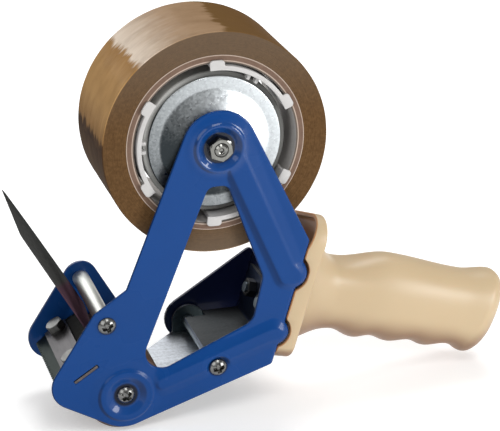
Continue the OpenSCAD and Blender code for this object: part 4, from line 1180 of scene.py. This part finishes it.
fasteners = {"chamfer": (0.97, 28), "boreLip": 0.4,
             "hubNut": 10.0, "hubNutHigh": 3.6, "hubNutTurn": 0.15, "hubNutBore": 3.05,
             "thread": 3.0, "shank": 4.0, "axleEnds": (0.8, 0.7, 0.6),
             "dimple": ((0.0, 1.1), (0.7, 0.9), (1.1, 0.25), (1.4, 0.0)),
             "tensionNut": 13.0, "tensionBore": 4.05,
             "handleNut": 8.0, "handleNutHigh": 4.0, "handleNutBore": 2.55,
             "handleNutRows": ((9.5, 53.5), (-9.5, 52.0)), "handleNutsAcross": (-9.5, 9.5),
             "bolt": 7.9672, "boltHigh": 3.2, "boltTurn": 0.2, "boltSeat": 4.4, "boltAlong": 13.5,
             "boltsAcross": (-18.0, 18.0), "boltShank": 2.5, "boltEnds": (4.6, -1.8)}


def hexPrism(s, across, low, high, turn=0.0, bore=0.0, bothEnds=True, sides=96):  # along the third axis
    flat, ease = across / 2, math.tan(math.radians(s["chamfer"][1]))
    crown = flat * s["chamfer"][0]
    top, rim = [], []
    for a in around(sides):
        corner = flat / math.cos((a + math.pi / 6) % (math.pi / 3) - math.pi / 6)
        way = direction(a + turn)
        top.append((*min(corner, crown) * way, high))
        rim.append((*corner * way, high - (corner - crown) * ease))
    rows = [top, rim]
    rows += [[(x, y, low + (high - z if bothEnds else 0)) for x, y, z in ring] for ring in (rim, top)]
    if not bore:
        return lofted(rows)
    lip = s["boreLip"]
    rows += [ringAt(bore, low, sides), ringAt(bore, high - lip, sides), ringAt(bore + lip, high, sides)]
    return [p for row in rows for p in row], ringFaces(len(rows), sides, True)


def makeHubNut(s):
    points, faces = hexPrism(s, s["hubNut"], 0, s["hubNutHigh"], s["hubNutTurn"], s["hubNutBore"])
    points = [(x, -plateOut - z, y) for x, y, z in points]
    addPiece("hubNutSkin", (points, faces), "frame", "zinc_steel", "hub_nut", 25, nutChrome)


def makeAxle(s):
    low, high = nodeBox("hub_axle")
    brake, thread, shank = nodeBox("brake_washer")[0].y, s["thread"], s["shank"]
    narrow, taper, chamfer = s["axleEnds"]
    profile = [(r, low.y + depth) for r, depth in s["dimple"]]
    profile += [(thread - narrow, low.y), (thread, low.y + taper), (thread, -halfGap), (high.x, -halfGap),
                (high.x, brake), (shank, brake), (shank, high.y - chamfer), (shank - chamfer, high.y),
                (0.0, high.y)]
    mesh = turned(profile, sides=72, closed=False)
    addPiece("hubAxleSkin", mesh, "frame", "grey_steel", "hub_axle", 40, nutChrome)


def makeTensionNut(s):
    low, high = nodeBox("tension_nut")
    points, faces = hexPrism(s, s["tensionNut"], low.y, high.y, bore=s["tensionBore"])
    points = [(x, z, y) for x, y, z in points]
    addPiece("tensionNutSkin", (points, faces), "frame", "zinc_steel", "tension_nut", 25)


def makeHandleNuts(s):
    nut, faces = hexPrism(s, s["handleNut"], 0, s["handleNutHigh"], bore=s["handleNutBore"])
    parts = []
    for up, along in s["handleNutRows"]:
        for across in s["handleNutsAcross"]:
            level = handle["axis"] + up
            parts.append(([fromFlat(np.float64(along - z), across + y, level + x) for x, y, z in nut], faces))
    addPiece("handleNutSkins", joined(parts), "frame", "zinc_steel", "handle_nuts", 25, darkNut)


def makeBolts(s):
    seat = s["boltSeat"]
    head = hexPrism(s, s["bolt"], seat, seat + s["boltHigh"], s["boltTurn"], bothEnds=False)
    shank = lofted([ringAt(s["boltShank"], level, 40) for level in s["boltEnds"]])
    parts = []
    for across in s["boltsAcross"]:
        for points, faces in (head, shank):
            made = []
            for x, y, z in points:
                along, up = onBlade(s["boltAlong"] + x, z)
                made.append((along, across + y, up))
            parts.append((made, faces))
    addPiece("clampBoltSkins", joined(parts), "frame", "zinc_steel", "clamp_bolts", 25, boltSteel)


for make in (makeHubNut, makeAxle, makeTensionNut, makeHandleNuts, makeBolts):
    make(fasteners)
print("springs and fasteners made")


# Every CAD node gets its finish and smooth shading, and the listed ones eased edges

nodeEdges = {"sharp": 35, "segments": 3,
             "bevels": {"rear_bracket": 0.3, "far_arm": 0.4, "far_nose_plate": 0.4, "return_stop": 0.25,
                        "blade_clamp": 0.2, "blade_holder": 0.2, "blade": 0.08, "roller_core": 0.4}}


def dressNodes(s):
    slots = {part["node"]: part["material_slot"] for part in frame["record"]["subparts"]}
    for name, node in frame["nodes"].items():
        dress(node.data, nodeFinishes.get(name) or finishes[slots[name]], s["sharp"])
        if name in s["bevels"]:
            edge = node.modifiers.new("edge", "BEVEL")
            edge.width = s["bevels"][name] * mm
            edge.segments = s["segments"]
            edge.limit_method = "ANGLE"
            edge.angle_limit = math.radians(s["sharp"])


dressNodes(nodeEdges)
print("nodes dressed:", len(frame["nodes"]))
